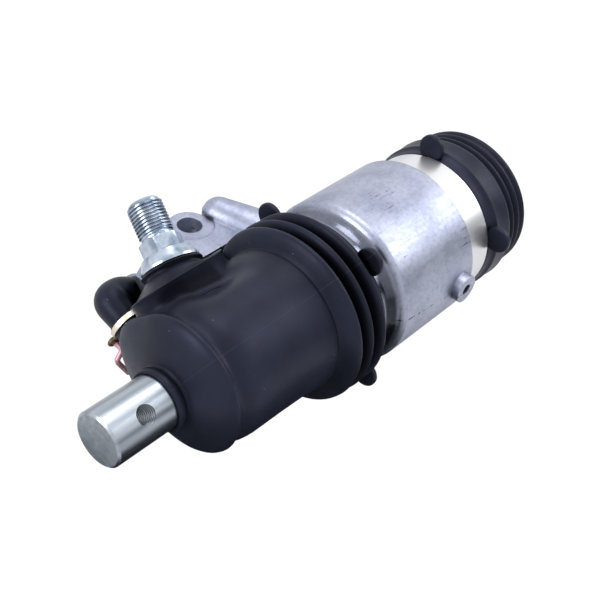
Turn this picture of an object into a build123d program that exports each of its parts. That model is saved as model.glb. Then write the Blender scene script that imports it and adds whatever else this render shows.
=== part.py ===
from build123d import *
import math
import os

os.makedirs("parts", exist_ok=True)

# All sizes are millimetres, x runs along the output rod, z is the mounting arm's normal.
# The origin is where the rod axis meets the axis of the threaded cross hole.

# Fits used everywhere
fit_gap = 0.02
run_gap = 0.03
seal_gap = 0.05
lip_hollow = 0.3

# Output rod
rod_r = 12.5
rod_front_x = -17.0
rod_rear_x = 211.0
rod_chamfer = 1.0
boot_seat_x0 = 13.5
boot_seat_x1 = 21.0
boot_seat_r = rod_r - 0.5
cross_hole_r = 4.25
cross_hole_lean = 43.5
rod_seam = 6.0

# Bores and ports of the rod
spool_r = 6.0
spring_bore_end_x = 20.0
port_r = 1.5
supply_port_x = 120.7
front_port_x = 152.5
rear_port_x = 158.5
feed_r = 1.25
feed_ring_r = 9.3
feed_front_x = 119.0
feed_rear_port_x = 168.0
feed_end_x = 170.0

# Rod plug
plug_x0 = 200.0
plug_x1 = rod_rear_x - 0.6
plug_r = spool_r + 1.5
plug_socket_deep = 4.0

# Input lever: the turret direction leans 57.3 degrees from z toward +y
turret_lean = 57.3
lever_rest_lean = 12.0
pivot_x = 45.3
pivot_drop = 8.5
pivot_pin_r = 1.75
pivot_pin_half = 6.5
slot_half_x = 7.7
slot_half_w = 3.0
blade_half_w = 2.5
blade_half_x = 2.4
neck_half_x = 3.0
eye_r = 3.2
disc_r = 4.0
disc_arm = 8.6
shank_r = 7.0
shank_from = 24.0
collar_from = 47.5
collar_r = 10.8
lip_groove_from = 50.2
lip_groove_r = 9.5
flange_from = 53.7

# Lever stud
flange_low_r = 13.35
flange_top_r = 10.8
flange_rim = 1.6
flange_high = 6.5
hex_flat = 17.0
hex_high = 6.9
thread_r = 8.0
thread_core_r = 7.35
thread_relief_r = 7.0
thread_from = 68.5
thread_to = 83.0
stud_top = 84.5
spigot_r = 4.0
spigot_deep = 12.0

# Valve spool
spool_front_x = 36.0
spool_rear_x = 178.0
spool_slot_x = pivot_x + disc_arm * math.sin(math.radians(lever_rest_lean))
spool_slot_half_x = 4.05
spool_slot_half_w = 2.8
spool_neck_r = 4.2
spool_vent_r = 2.0
spool_vent_end_x = 158.0
land_half = 2.3
front_land_x1 = 112.0
rear_land_x0 = 172.0
oring_xs = (106.0, 175.0)
oring_half = 1.0
oring_minor_r = 0.9

# Spool spring
spring_wire_r = 0.6
spring_mean_r = 4.6
spring_turns = 5
spring_sides = 6

# Housing casting
hub_front_x = 88.0
hub_r = 20.0
wiper_wide = 4.5
wiper_seat_r = rod_r + wiper_wide
wiper_long = 4.5
wiper_from = 1.7
retainer_long = 1.3
retainer_wide = 3.5
bush_wide = 2.0
bush_r = rod_r + bush_wide
bush_long = 8.3
relief_r = rod_r + 1.5
relief_end_x = 127.0
pressure_wide = 3.7
pressure_seat_r = rod_r + pressure_wide
pressure_long = 2.4
rod_pass_r = rod_r + 0.4
wall_front_x = 122.0
wall_rear_x = 131.0
neck_r = 35.1
recess_r = neck_r - 4.1
neck_front_x = 107.0
boot_groove_r = neck_r - 1.5
boot_groove_x0 = 110.8
boot_groove_x1 = 115.7
boot_clear_r = neck_r + 8.1
shoulder_x = 119.8
shoulder_steps = ((2.2, 0.6), (3.8, 1.5), (5.0, 2.5), (5.8, 3.7), (6.8, 4.6), (8.2, 5.1))
barrel_r = neck_r + 5.1
barrel_rear_x = 180.3
bore_r = 33.0

# Side port boss
side_port_x = 170.5
side_port_r = 2.75
side_boss_r = 7.0
side_boss_y = -44.0
side_boss_long = 8.0

# Mounting arm
arm_top_z = 10.0
arm_low_z = -4.0
hole_x = 97.3
hole_y = 66.2
hole_r = 6.0
lug_r = 10.1
spot_r = 11.7
spot_deep = 0.8
pad_high = 1.0
arm_front_x = 53.0
arm_inner_y = 46.0
hump_start = (115.1, 64.4)
hump_end = (124.9, 35.0)
hump_top_z = 16.5
hump_start_r = 8.2
hump_end_r = 12.5
hump_end_share = 0.86
gallery_r = 2.5
gallery_plug_long = 5.0
supply_start = (124.9, 38.0, 10.8)
supply_run = (0, -35.0, -10.0)
supply_r = 1.9

# Breather elbow
hose_r = 7.2
hose_bore_r = 4.5
tuck_r = 6.4
nozzle_r = 8.0
nozzle_point = (39.5, 45.4, -2.8)
nozzle_rise = 18.0
nozzle_end = 1.2
nozzle_root = 22.0
socket_mouth = (55.0, 57.9, -3.5)
socket_run = (0.86, -0.10, -0.50)
socket_deep = 7.0
socket_boss_r = 8.9
socket_boss_long = 13.0
scoop_r = 8.3
hose_tuck = 7.0
hose_first = 12.5
hose_last = 8.0
clamp_in_r = nozzle_r + fit_gap
clamp_out_r = nozzle_r + 0.7
clamp_from = -2.4
clamp_long = 2.6
clamp_ear_lean = 120.0
clamp_ear_half = 3.2
clamp_ear_high = 5.0
clamp_wire_r = 1.1
clamp_tail = ((31.0, 40.8, -12.6), (28.9, 40.5, -17.4), (37.2, 40.0, -29.4))

# Piston
piston_x0 = 148.0
piston_x1 = 163.0
piston_r = bore_r - 0.3
piston_counter_r = 15.5
piston_counter_deep = 2.0
annulus_r = 14.2
annulus_half = 1.2
piston_port_r = 1.2
piston_port_ring_r = 13.7
piston_groove_r = 29.4
piston_seal_long = 3.2
piston_seal_x0 = 149.4
piston_seal_x1 = 158.4
wear_x0 = 154.0
wear_long = 3.0
wear_groove_r = 30.8
snap_long = 1.4
snap_groove_r = 11.3
snap_out_r = 15.0
snap_in = 0.4
snap_xs = (piston_x0 + snap_in, piston_x1 - snap_in - snap_long)

# Rear cover
cover_front_x = 174.0
cover_r = 36.4
cover_rear_x = 203.2
cover_spigot_r = bore_r - seal_gap
cover_groove_x0 = 198.0
cover_groove_x1 = 201.7
cover_groove_r = cover_r - 2.0
cover_lip_r = cover_r - 0.9
cover_oring_x = 176.9
cover_oring_minor = 1.3
rear_pressure_x = 175.2
rear_bush_x = 181.7

# Boots
boot_wall = 2.5
boot_lip_r = boot_seat_r + 2.0
dome_stations = ((20.8, 16.5), (24.5, 27.2), (28.0, 31.1), (33.5, 32.4), (60.0, 32.7), (88.6, 33.0))
dome_inner = ((21.8, 14.8), (26.0, 25.0), (29.2, 28.6), (33.5, 29.9), (89.0, 30.4))
ridge_stations = (93.2, 100.8, 109.2)
ridge_high = 7.0
ridge_valley = 0.6
ridge_half = 1.3
front_rim_r = neck_r + 2.6
rear_rim_r = cover_r + 1.7
rear_ridges = ((214.5, 38.3), (220.0, 37.3), (225.6, 36.7))
rear_ridge_deep = 2.2
rear_end_r = 36.8
rear_end_x = 232.2
rear_inner_r = 32.0
turret_x = 55.2
turret_half_x = 24.3
turret_half_w = 17.5
turret_foot = 12.0
turret_top = 37.0
mouth_r = 14.5
mouth_in_r = 12.0
mouth_from = 40.0
mouth_to = flange_from - 0.5
mouth_hollow_from = 36.0
mouth_lip_from = lip_groove_from + 0.3
ear_r = 6.5
ear_ring_r = neck_r + 6.4
rear_ear_ring_r = cover_r + 4.6
front_ears = (-52.0, 35.0, 128.0, 215.0)
rear_ears = (-10.0, 73.0, 170.0, 253.0)

# Directions
lean = math.radians(turret_lean)
t_dir = Vector(0, math.sin(lean), math.cos(lean))
w_dir = Vector(0, math.cos(lean), -math.sin(lean))
x_dir = Vector(1, 0, 0)
pivot = Vector(pivot_x, 0, 0) - t_dir * pivot_drop
tip = math.radians(lever_rest_lean)
l_dir = t_dir * math.cos(tip) + x_dir * math.sin(tip)
l_side = x_dir * math.cos(tip) - t_dir * math.sin(tip)
rise = math.radians(nozzle_rise)
n_dir = Vector(0, math.cos(rise), math.sin(rise))
n_at = Vector(*nozzle_point)
n_down = Vector(0, math.sin(rise), -math.cos(rise))
cross = math.radians(cross_hole_lean)
cross_dir = Vector(0, -math.sin(cross), math.cos(cross))
socket_at = Vector(*socket_mouth)
u_dir = Vector(*socket_run).normalized()


def turned(points, mode=Mode.ADD, seam=0.0):
    """Revolve an outline of (x, radius) points about the main axis, from a seam angle."""
    with BuildSketch(Plane.XY.rotated((seam, 0, 0))) as outline:
        with BuildLine():
            Polyline(*points, close=True)
        make_face()
    revolve(outline.sketch, axis=Axis.X, mode=mode)


def ring(x0, x1, r_in, r_out, mode=Mode.ADD):
    """A plain ring about the main axis from x0 to x1."""
    turned([(x0, r_in), (x1, r_in), (x1, r_out), (x0, r_out)], mode)


def bar(start, direction, radius, length, mode=Mode.ADD):
    """A round bar or drilling from a start point along a direction."""
    with Locations(Plane(origin=start, z_dir=direction)):
        Cylinder(radius, length, align=(Align.CENTER, Align.CENTER, Align.MIN), mode=mode)


def lever_turned(points, mode=Mode.ADD):
    """Revolve an outline of (radius, distance from pivot) points about the lever axis."""
    plane = Plane(origin=pivot, x_dir=l_side, z_dir=w_dir * -1)
    with BuildSketch(plane) as outline:
        with BuildLine():
            Polyline(*points, close=True)
        make_face()
    revolve(outline.sketch, axis=Axis(pivot, l_dir), mode=mode)


def lever_block(half_x, half_w, low, high, mode=Mode.ADD):
    """A rectangular length of the lever between two distances from the pivot."""
    with BuildSketch(Plane(origin=pivot + l_dir * low, x_dir=l_side, z_dir=l_dir)) as section:
        Rectangle(2 * half_x, 2 * half_w)
    extrude(section.sketch, amount=high - low, mode=mode)


def turret_slot(half_x, half_w, low, high, mode=Mode.ADD):
    """A rounded slot prism standing along the turret direction."""
    plane = Plane(origin=Vector(turret_x, 0, 0) + t_dir * low, x_dir=x_dir, z_dir=t_dir)
    with BuildSketch(plane) as section:
        SlotOverall(2 * half_x, 2 * half_w)
    extrude(section.sketch, amount=high - low, mode=mode)


def lobes(x0, x1, angles, radius, ring_r):
    """Round pull ears standing out of a boot rim."""
    for angle in angles:
        a = math.radians(angle)
        at = Vector(x0, -math.sin(a) * ring_r, math.cos(a) * ring_r)
        bar(at, x_dir, radius, x1 - x0)


# Housing casting with the mounting arm, air galleries and side port
with BuildPart() as housing:
    turned([
        (hub_front_x, wiper_seat_r),
        (hub_front_x, hub_r - 0.8),
        (hub_front_x + 0.8, hub_r),
        (wall_front_x, hub_r),
        (wall_front_x, recess_r),
        (neck_front_x, recess_r),
        (neck_front_x, neck_r - 0.6),
        (neck_front_x + 0.6, neck_r),
        (boot_groove_x0, neck_r),
        (boot_groove_x0, boot_groove_r),
        (boot_groove_x1, boot_groove_r),
        (boot_groove_x1, neck_r),
        (shoulder_x, neck_r),
        *[(shoulder_x + run, neck_r + step) for run, step in shoulder_steps],
        (barrel_rear_x - 1.0, barrel_r),
        (barrel_rear_x, barrel_r - 1.0),
        (barrel_rear_x, bore_r),
        (wall_rear_x, bore_r),
        (wall_rear_x, rod_pass_r),
        (wall_rear_x - 1.0, rod_pass_r),
        (wall_rear_x - 1.0, pressure_seat_r),
        (wall_rear_x - 1.0 - pressure_long, pressure_seat_r),
        (wall_rear_x - 1.0 - pressure_long, rod_pass_r),
        (relief_end_x, rod_pass_r),
        (relief_end_x, relief_r),
        (hub_front_x + wiper_from + wiper_long + bush_long, relief_r),
        (hub_front_x + wiper_from + wiper_long + bush_long, bush_r),
        (hub_front_x + wiper_from + wiper_long, bush_r),
        (hub_front_x + wiper_from + wiper_long, wiper_seat_r),
    ])
    with BuildSketch(Plane.XY.offset(arm_low_z)) as arm:
        with BuildLine():
            Polyline(
                (arm_front_x, arm_inner_y),
                (arm_front_x, 54.9),
                (92.4, 75.0),
                (107.4, 67.6),
                (120.8, 63.0),
                (137.0, 38.0),
                (137.0, 34.0),
                (124.0, 34.0),
                (124.0, 37.0),
                (119.8, 44.6),
                (88.0, 44.6),
                close=True,
            )
        make_face()
        with Locations((hole_x, hole_y)):
            Circle(lug_r)
        with Locations(hump_start):
            Circle(hump_start_r)
    extrude(amount=arm_top_z - arm_low_z)
    bar((hole_x, hole_y, arm_low_z - pad_high), (0, 0, 1), lug_r, pad_high)
    bar(socket_at - u_dir * 20, u_dir, scoop_r, 20.0, Mode.SUBTRACT)
    bar(socket_at, u_dir, socket_boss_r, socket_boss_long)
    hump_run = Vector(hump_end[0] - hump_start[0], hump_end[1] - hump_start[1], 0)
    hump_at = Vector(hump_start[0], hump_start[1], hump_top_z - hump_start_r)
    flare_at = hump_at + hump_run * hump_end_share + Vector(0, 0, hump_start_r - hump_end_r)
    with BuildSketch(Plane(origin=hump_at, z_dir=hump_run)) as hump_small:
        Circle(hump_start_r)
    with BuildSketch(Plane(origin=flare_at, z_dir=hump_run)) as hump_large:
        Circle(hump_end_r)
    loft([hump_small.sketch, hump_large.sketch])
    with Locations(hump_at):
        Sphere(hump_start_r)
    ring(neck_front_x - 5, boot_groove_x1 + 0.2, neck_r, boot_clear_r, Mode.SUBTRACT)
    ring(boot_groove_x0, boot_groove_x1, boot_groove_r, neck_r + 1, Mode.SUBTRACT)
    bar((side_port_x, side_boss_y, 0), (0, 1, 0), side_boss_r, side_boss_long)
    bar((side_port_x, side_boss_y - 1, 0), (0, 1, 0), side_port_r, 14.0, Mode.SUBTRACT)
    bar((hole_x, hole_y, arm_low_z - 1), (0, 0, 1), hole_r, 20.0, Mode.SUBTRACT)
    bar((hole_x, hole_y, arm_top_z - spot_deep), (0, 0, 1), spot_r, 2.0, Mode.SUBTRACT)
    bar(socket_at - u_dir, u_dir, hose_r + seal_gap, socket_deep + 1, Mode.SUBTRACT)
    bar(socket_at, u_dir, hose_bore_r - 1.5, socket_boss_long + 1, Mode.SUBTRACT)
    drill_at = Vector(hump_start[0], hump_start[1], arm_top_z) + hump_run * 0.1
    bar(drill_at, hump_run, gallery_r, hump_run.length * 0.88, Mode.SUBTRACT)
    bar(drill_at - Vector(0, 0, 20), (0, 0, 1), gallery_r, 20.0, Mode.SUBTRACT)
    bar(supply_start, supply_run, supply_r, 27.0, Mode.SUBTRACT)

# Output rod with its valve bore, lever slot, ports and feed drilling
with BuildPart() as shift_rod:
    turned([
        (rod_front_x, 0),
        (rod_front_x, rod_r - rod_chamfer),
        (rod_front_x + rod_chamfer, rod_r),
        (boot_seat_x0, rod_r),
        (boot_seat_x0, boot_seat_r),
        (boot_seat_x1, boot_seat_r),
        (boot_seat_x1, rod_r),
        (rod_rear_x - rod_chamfer, rod_r),
        (rod_rear_x, rod_r - rod_chamfer),
        (rod_rear_x, plug_r),
        (plug_x0, plug_r),
        (plug_x0, spool_r),
        (spring_bore_end_x, spool_r),
        (spring_bore_end_x - 2.5, 0),
    ], seam=rod_seam)
    bar(cross_dir * -20, cross_dir, cross_hole_r, 40.0, Mode.SUBTRACT)
    with Locations(Plane(origin=(pivot_x, 0, 0), x_dir=x_dir, z_dir=t_dir)):
        Box(2 * slot_half_x, 2 * slot_half_w, 40.0, mode=Mode.SUBTRACT)
    bar(pivot - w_dir * 20, w_dir, pivot_pin_r + fit_gap, 40.0, Mode.SUBTRACT)
    for port_x in (supply_port_x, front_port_x, rear_port_x):
        bar((port_x, 0, 0), (0, -1, 0), port_r, 20.0, Mode.SUBTRACT)
    bar((supply_port_x, 0, 0), (0, 0, 1), port_r, 20.0, Mode.SUBTRACT)
    bar((feed_front_x, 0, feed_ring_r), x_dir, feed_r, feed_end_x - feed_front_x, Mode.SUBTRACT)
    bar((feed_rear_port_x, 0, 0), (0, 0, 1), port_r, feed_ring_r, Mode.SUBTRACT)
    for snap_x in snap_xs:
        ring(snap_x, snap_x + snap_long, snap_groove_r, rod_r + 1, Mode.SUBTRACT)

# Screwed plug closing the rod's rear end, with a hexagon socket
with BuildPart() as rod_plug:
    ring(plug_x0, plug_x1, 0, plug_r - fit_gap)
    with BuildSketch(Plane.YZ.offset(plug_x1 - plug_socket_deep)) as socket:
        RegularPolygon(4.0, 6)
    extrude(amount=plug_socket_deep + 1, mode=Mode.SUBTRACT)

# Pivot pin of the input lever
with BuildPart() as lever_pivot_pin:
    bar(pivot - w_dir * pivot_pin_half, w_dir, pivot_pin_r, 2 * pivot_pin_half)

# Input lever: eye, spool disc, blade, shank and the collar the boot lip grips
with BuildPart() as input_lever:
    bar(pivot - w_dir * blade_half_w, w_dir, eye_r, 2 * blade_half_w)
    lever_block(blade_half_x, blade_half_w, 1.0, 19.0)
    bar(pivot + l_dir * disc_arm - w_dir * blade_half_w, w_dir, disc_r, 2 * blade_half_w)
    lever_block(neck_half_x, blade_half_w, 18.0, shank_from + 1)
    lever_turned([
        (0, shank_from),
        (shank_r - 1, shank_from),
        (shank_r, shank_from + 1),
        (shank_r, collar_from - 3),
        (collar_r, collar_from),
        (collar_r, lip_groove_from),
        (lip_groove_r, lip_groove_from),
        (lip_groove_r, flange_from),
        (spigot_r + fit_gap, flange_from),
        (spigot_r + fit_gap, flange_from - spigot_deep - 1),
        (0, flange_from - spigot_deep - 1),
    ])
    bar(pivot - w_dir * 10, w_dir, pivot_pin_r + run_gap, 20.0, Mode.SUBTRACT)

# Lever stud: spigot, coned flange, hexagon and thread
with BuildPart() as lever_stud:
    lever_turned([
        (0, flange_from - spigot_deep),
        (spigot_r, flange_from - spigot_deep),
        (spigot_r, flange_from),
        (flange_low_r, flange_from),
        (flange_low_r, flange_from + flange_rim),
        (flange_top_r, flange_from + flange_high),
        (0, flange_from + flange_high),
    ])
    hex_from = flange_from + flange_high
    with BuildSketch(Plane(origin=pivot + l_dir * hex_from, x_dir=l_side, z_dir=l_dir)):
        RegularPolygon(hex_flat / 2, 6, major_radius=False, rotation=15)
    extrude(amount=hex_high)
    lever_turned([
        (flange_top_r * 1.5, hex_from + hex_high - 1.6),
        (hex_flat / 2 - 0.1, hex_from + hex_high),
        (flange_top_r * 1.5, hex_from + hex_high),
    ], Mode.SUBTRACT)
    lever_turned([
        (0, hex_from),
        (thread_relief_r, hex_from),
        (thread_relief_r, thread_from - 0.6),
        (thread_r, thread_from),
        (thread_r, thread_to),
        (thread_core_r, thread_to + 0.6),
        (thread_core_r - 1.0, stud_top),
        (0, stud_top),
    ])

# Valve spool with lands, ring grooves, lever slot and central vent
with BuildPart() as valve_spool:
    land_r = spool_r - fit_gap
    groove_r = spool_r - run_gap - 2 * oring_minor_r
    land_a = front_port_x + spool_slot_x - pivot_x
    land_b = rear_port_x + spool_slot_x - pivot_x
    turned([
        (spool_front_x, spool_vent_r),
        (spool_front_x, land_r - 0.5),
        (spool_front_x + 0.5, land_r),
        (oring_xs[0] - oring_half, land_r),
        (oring_xs[0] - oring_half, groove_r),
        (oring_xs[0] + oring_half, groove_r),
        (oring_xs[0] + oring_half, land_r),
        (front_land_x1, land_r),
        (front_land_x1 + 1, spool_neck_r),
        (land_a - land_half - 1, spool_neck_r),
        (land_a - land_half, land_r),
        (land_a + land_half, land_r),
        (land_a + land_half + 0.3, spool_neck_r),
        (land_b - land_half - 0.3, spool_neck_r),
        (land_b - land_half, land_r),
        (land_b + land_half, land_r),
        (land_b + land_half + 1, spool_neck_r),
        (rear_land_x0 - 1, spool_neck_r),
        (rear_land_x0, land_r),
        (oring_xs[1] - oring_half, land_r),
        (oring_xs[1] - oring_half, groove_r),
        (oring_xs[1] + oring_half, groove_r),
        (oring_xs[1] + oring_half, land_r),
        (spool_rear_x - 0.5, land_r),
        (spool_rear_x, land_r - 0.5),
        (spool_rear_x, 0),
        (spool_vent_end_x, 0),
        (spool_vent_end_x, spool_vent_r),
    ])
    with Locations(Plane(origin=(spool_slot_x, 0, 0), x_dir=x_dir, z_dir=t_dir)):
        Box(2 * spool_slot_half_x, 2 * spool_slot_half_w, 20.0, mode=Mode.SUBTRACT)
    bar(((land_a + land_b) / 2, -10, 0), (0, 1, 0), 0.9, 20.0, Mode.SUBTRACT)

with BuildPart() as spool_orings:
    for oring_x in oring_xs:
        with Locations(Plane(origin=(oring_x, 0, 0), z_dir=x_dir)):
            Torus(spool_r - run_gap - oring_minor_r, oring_minor_r)

# Spring that biases the spool toward the rear stop
with BuildPart() as spool_spring:
    spring_long = spool_front_x - spring_bore_end_x - 2 * spring_wire_r
    spring_plane = Plane(origin=(spring_bore_end_x + spring_wire_r, 0, 0), z_dir=x_dir)
    coil = Helix(
        spring_long / spring_turns,
        spring_long,
        spring_mean_r,
        center=spring_plane.origin,
        direction=x_dir,
        mode=Mode.PRIVATE,
    )
    with BuildSketch(Plane(origin=coil @ 0, z_dir=coil % 0)) as wire:
        RegularPolygon(spring_wire_r, spring_sides)
    sweep(wire.sketch, path=coil)

# Piston with grooves, inner port rings and face drillings
with BuildPart() as piston:
    turned([
        (piston_x0, piston_counter_r),
        (piston_x0, piston_r - 0.8),
        (piston_x0 + 0.8, piston_r),
        (piston_seal_x0, piston_r),
        (piston_seal_x0, piston_groove_r),
        (piston_seal_x0 + piston_seal_long, piston_groove_r),
        (piston_seal_x0 + piston_seal_long, piston_r),
        (wear_x0, piston_r),
        (wear_x0, wear_groove_r),
        (wear_x0 + wear_long, wear_groove_r),
        (wear_x0 + wear_long, piston_r),
        (piston_seal_x1, piston_r),
        (piston_seal_x1, piston_groove_r),
        (piston_seal_x1 + piston_seal_long, piston_groove_r),
        (piston_seal_x1 + piston_seal_long, piston_r),
        (piston_x1 - 0.8, piston_r),
        (piston_x1, piston_r - 0.8),
        (piston_x1, piston_counter_r),
        (piston_x1 - piston_counter_deep, piston_counter_r),
        (piston_x1 - piston_counter_deep, rod_r + fit_gap),
        (rear_port_x + annulus_half, rod_r + fit_gap),
        (rear_port_x + annulus_half, annulus_r),
        (rear_port_x - annulus_half, annulus_r),
        (rear_port_x - annulus_half, rod_r + fit_gap),
        (front_port_x + annulus_half, rod_r + fit_gap),
        (front_port_x + annulus_half, annulus_r),
        (front_port_x - annulus_half, annulus_r),
        (front_port_x - annulus_half, rod_r + fit_gap),
        (piston_x0 + piston_counter_deep, rod_r + fit_gap),
        (piston_x0 + piston_counter_deep, piston_counter_r),
    ])
    for side in (-1, 1):
        bar((piston_x0, side * piston_port_ring_r, 0), x_dir, piston_port_r, 4.5, Mode.SUBTRACT)
        bar((piston_x1, side * piston_port_ring_r, 0), x_dir * -1, piston_port_r, 4.5, Mode.SUBTRACT)

with BuildPart() as piston_seals:
    for seal_x in (piston_seal_x0, piston_seal_x1):
        turned([
            (seal_x + fit_gap, piston_groove_r),
            (seal_x + piston_seal_long - fit_gap, piston_groove_r),
            (seal_x + piston_seal_long - fit_gap, bore_r - seal_gap),
            (seal_x + 1.9, bore_r - seal_gap - lip_hollow),
            (seal_x + 1.3, bore_r - seal_gap - lip_hollow),
            (seal_x + fit_gap, bore_r - seal_gap),
        ])

with BuildPart() as piston_wear_ring:
    ring(wear_x0 + fit_gap, wear_x0 + wear_long - fit_gap, wear_groove_r, bore_r - seal_gap)

with BuildPart() as piston_snap_rings:
    for snap_x in snap_xs:
        ring(snap_x + fit_gap, snap_x + snap_long - fit_gap, snap_groove_r, snap_out_r)

# Rod guides and seals: a set in the housing hub and the same set in the cover
front_bush_x = hub_front_x + wiper_from + wiper_long
rear_wiper_x = rear_bush_x + bush_long
with BuildPart() as guide_bushes:
    for bush_x in (front_bush_x, rear_bush_x):
        ring(bush_x, bush_x + bush_long, rod_r + run_gap, bush_r)

with BuildPart() as rod_pressure_seals:
    for seal_x in (wall_rear_x - 1.0 - pressure_long, rear_pressure_x):
        turned([
            (seal_x + fit_gap, pressure_seat_r),
            (seal_x + pressure_long - fit_gap, pressure_seat_r),
            (seal_x + pressure_long - fit_gap, rod_r + seal_gap),
            (seal_x + 1.4, rod_r + seal_gap + lip_hollow),
            (seal_x + 1.0, rod_r + seal_gap + lip_hollow),
            (seal_x + fit_gap, rod_r + seal_gap),
        ])

with BuildPart() as rod_wiper_seals:
    ring(front_bush_x - wiper_long, front_bush_x, rod_r + seal_gap, wiper_seat_r)
    ring(rear_wiper_x, rear_wiper_x + wiper_long, rod_r + seal_gap, wiper_seat_r)

retainer_r = wiper_seat_r - retainer_wide
with BuildPart() as seal_retainers:
    front_ring_x = front_bush_x - wiper_long - retainer_long
    rear_ring_x = rear_wiper_x + wiper_long
    ring(front_ring_x, front_ring_x + retainer_long, retainer_r, wiper_seat_r)
    ring(rear_ring_x, rear_ring_x + retainer_long, retainer_r, wiper_seat_r)

# Rear cover with the boot groove, its O-ring groove and the rod guide seats
with BuildPart() as rear_cover:
    turned([
        (cover_front_x, rod_pass_r),
        (cover_front_x, cover_spigot_r - 0.6),
        (cover_front_x + 0.6, cover_spigot_r),
        (cover_oring_x - 1.5, cover_spigot_r),
        (cover_oring_x - 1.5, cover_spigot_r - 2 * cover_oring_minor),
        (cover_oring_x + 1.5, cover_spigot_r - 2 * cover_oring_minor),
        (cover_oring_x + 1.5, cover_spigot_r),
        (barrel_rear_x, cover_spigot_r),
        (barrel_rear_x, cover_r - 0.4),
        (barrel_rear_x + 0.4, cover_r),
        (cover_groove_x0, cover_r),
        (cover_groove_x0, cover_groove_r),
        (cover_groove_x1, cover_groove_r),
        (cover_groove_x1, cover_lip_r),
        (cover_rear_x, cover_lip_r),
        (cover_rear_x, wiper_seat_r),
        (rear_wiper_x, wiper_seat_r),
        (rear_wiper_x, bush_r),
        (rear_bush_x, bush_r),
        (rear_bush_x, rod_pass_r),
        (rear_pressure_x + pressure_long, rod_pass_r),
        (rear_pressure_x + pressure_long, pressure_seat_r),
        (rear_pressure_x, pressure_seat_r),
        (rear_pressure_x, rod_pass_r),
    ])

with BuildPart() as cover_oring:
    with Locations(Plane(origin=(cover_oring_x, 0, 0), z_dir=x_dir)):
        Torus(cover_spigot_r - cover_oring_minor, cover_oring_minor)

# Plug in the mouth of the air gallery
with BuildPart() as gallery_plug:
    bar((drill_at.X, drill_at.Y, arm_low_z), (0, 0, 1), gallery_r - fit_gap, gallery_plug_long)

# Front boot: lip on the rod, round body, three ridges, rear rim in the neck groove, turret
front_ridge_r = neck_r + ridge_high
valley_r = neck_r - ridge_valley
with BuildPart() as front_boot:
    outline = [
        (boot_seat_x0 + fit_gap, 0),
        (boot_seat_x0 + fit_gap, boot_lip_r),
        (boot_seat_x0 + 4.0, boot_lip_r),
        (boot_seat_x0 + 4.7, boot_lip_r - 0.5),
        (boot_seat_x0 + 5.7, boot_lip_r - 0.5),
        *dome_stations,
    ]
    for ridge_x in ridge_stations:
        outline.append((ridge_x - ridge_half, front_ridge_r - 0.5))
        outline.append((ridge_x, front_ridge_r))
        outline.append((ridge_x + ridge_half, front_ridge_r - 0.5))
        outline.append((ridge_x + 3.9, valley_r + (ridge_x == ridge_stations[-1]) * 3.0))
    outline.append((boot_groove_x1 - seal_gap, front_rim_r - 0.3))
    outline.append((boot_groove_x1 - seal_gap, 0))
    turned(outline)
    lobes(boot_groove_x1 - 3.2, boot_groove_x1 - 0.4, front_ears, ear_r, ear_ring_r)
    turret_slot(turret_half_x, turret_half_w, turret_foot, turret_top)
    nozzle_back = n_at - n_dir * nozzle_root
    bar(nozzle_back, n_dir, nozzle_r, nozzle_root + nozzle_end)
    lever_turned([
        (0, mouth_from),
        (mouth_r, mouth_from),
        (mouth_r, mouth_to - 1.0),
        (mouth_r - 1.0, mouth_to),
        (0, mouth_to),
    ])
    cavity = [
        (boot_seat_x0 - 2, 0),
        (boot_seat_x0 - 2, boot_seat_r + fit_gap),
        (boot_seat_x1 - fit_gap, boot_seat_r + fit_gap),
        (boot_seat_x1 - fit_gap, rod_r + fit_gap),
        *dome_inner,
    ]
    for ridge_x in ridge_stations:
        cavity.append((ridge_x, front_ridge_r - 2.7))
        cavity.append((ridge_x + 3.9, valley_r - 2.4))
    cavity[-1] = (boot_groove_x0 + seal_gap, front_ridge_r - 3.8)
    cavity.append((boot_groove_x0 + seal_gap, boot_groove_r))
    cavity.append((boot_groove_x1 + 1, boot_groove_r))
    cavity.append((boot_groove_x1 + 1, 0))
    turned(cavity, Mode.SUBTRACT)
    turret_slot(
        turret_half_x - boot_wall,
        turret_half_w - boot_wall,
        turret_foot - 2,
        turret_top - boot_wall,
        Mode.SUBTRACT,
    )
    bar(nozzle_back + n_dir * 2, n_dir, tuck_r + seal_gap, nozzle_root + 4, Mode.SUBTRACT)
    lever_turned([
        (0, mouth_hollow_from),
        (mouth_in_r, mouth_hollow_from),
        (mouth_in_r, mouth_lip_from),
        (lip_groove_r + fit_gap, mouth_lip_from),
        (lip_groove_r + fit_gap, mouth_to + 1.0),
        (0, mouth_to + 1.0),
    ], Mode.SUBTRACT)

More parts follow.
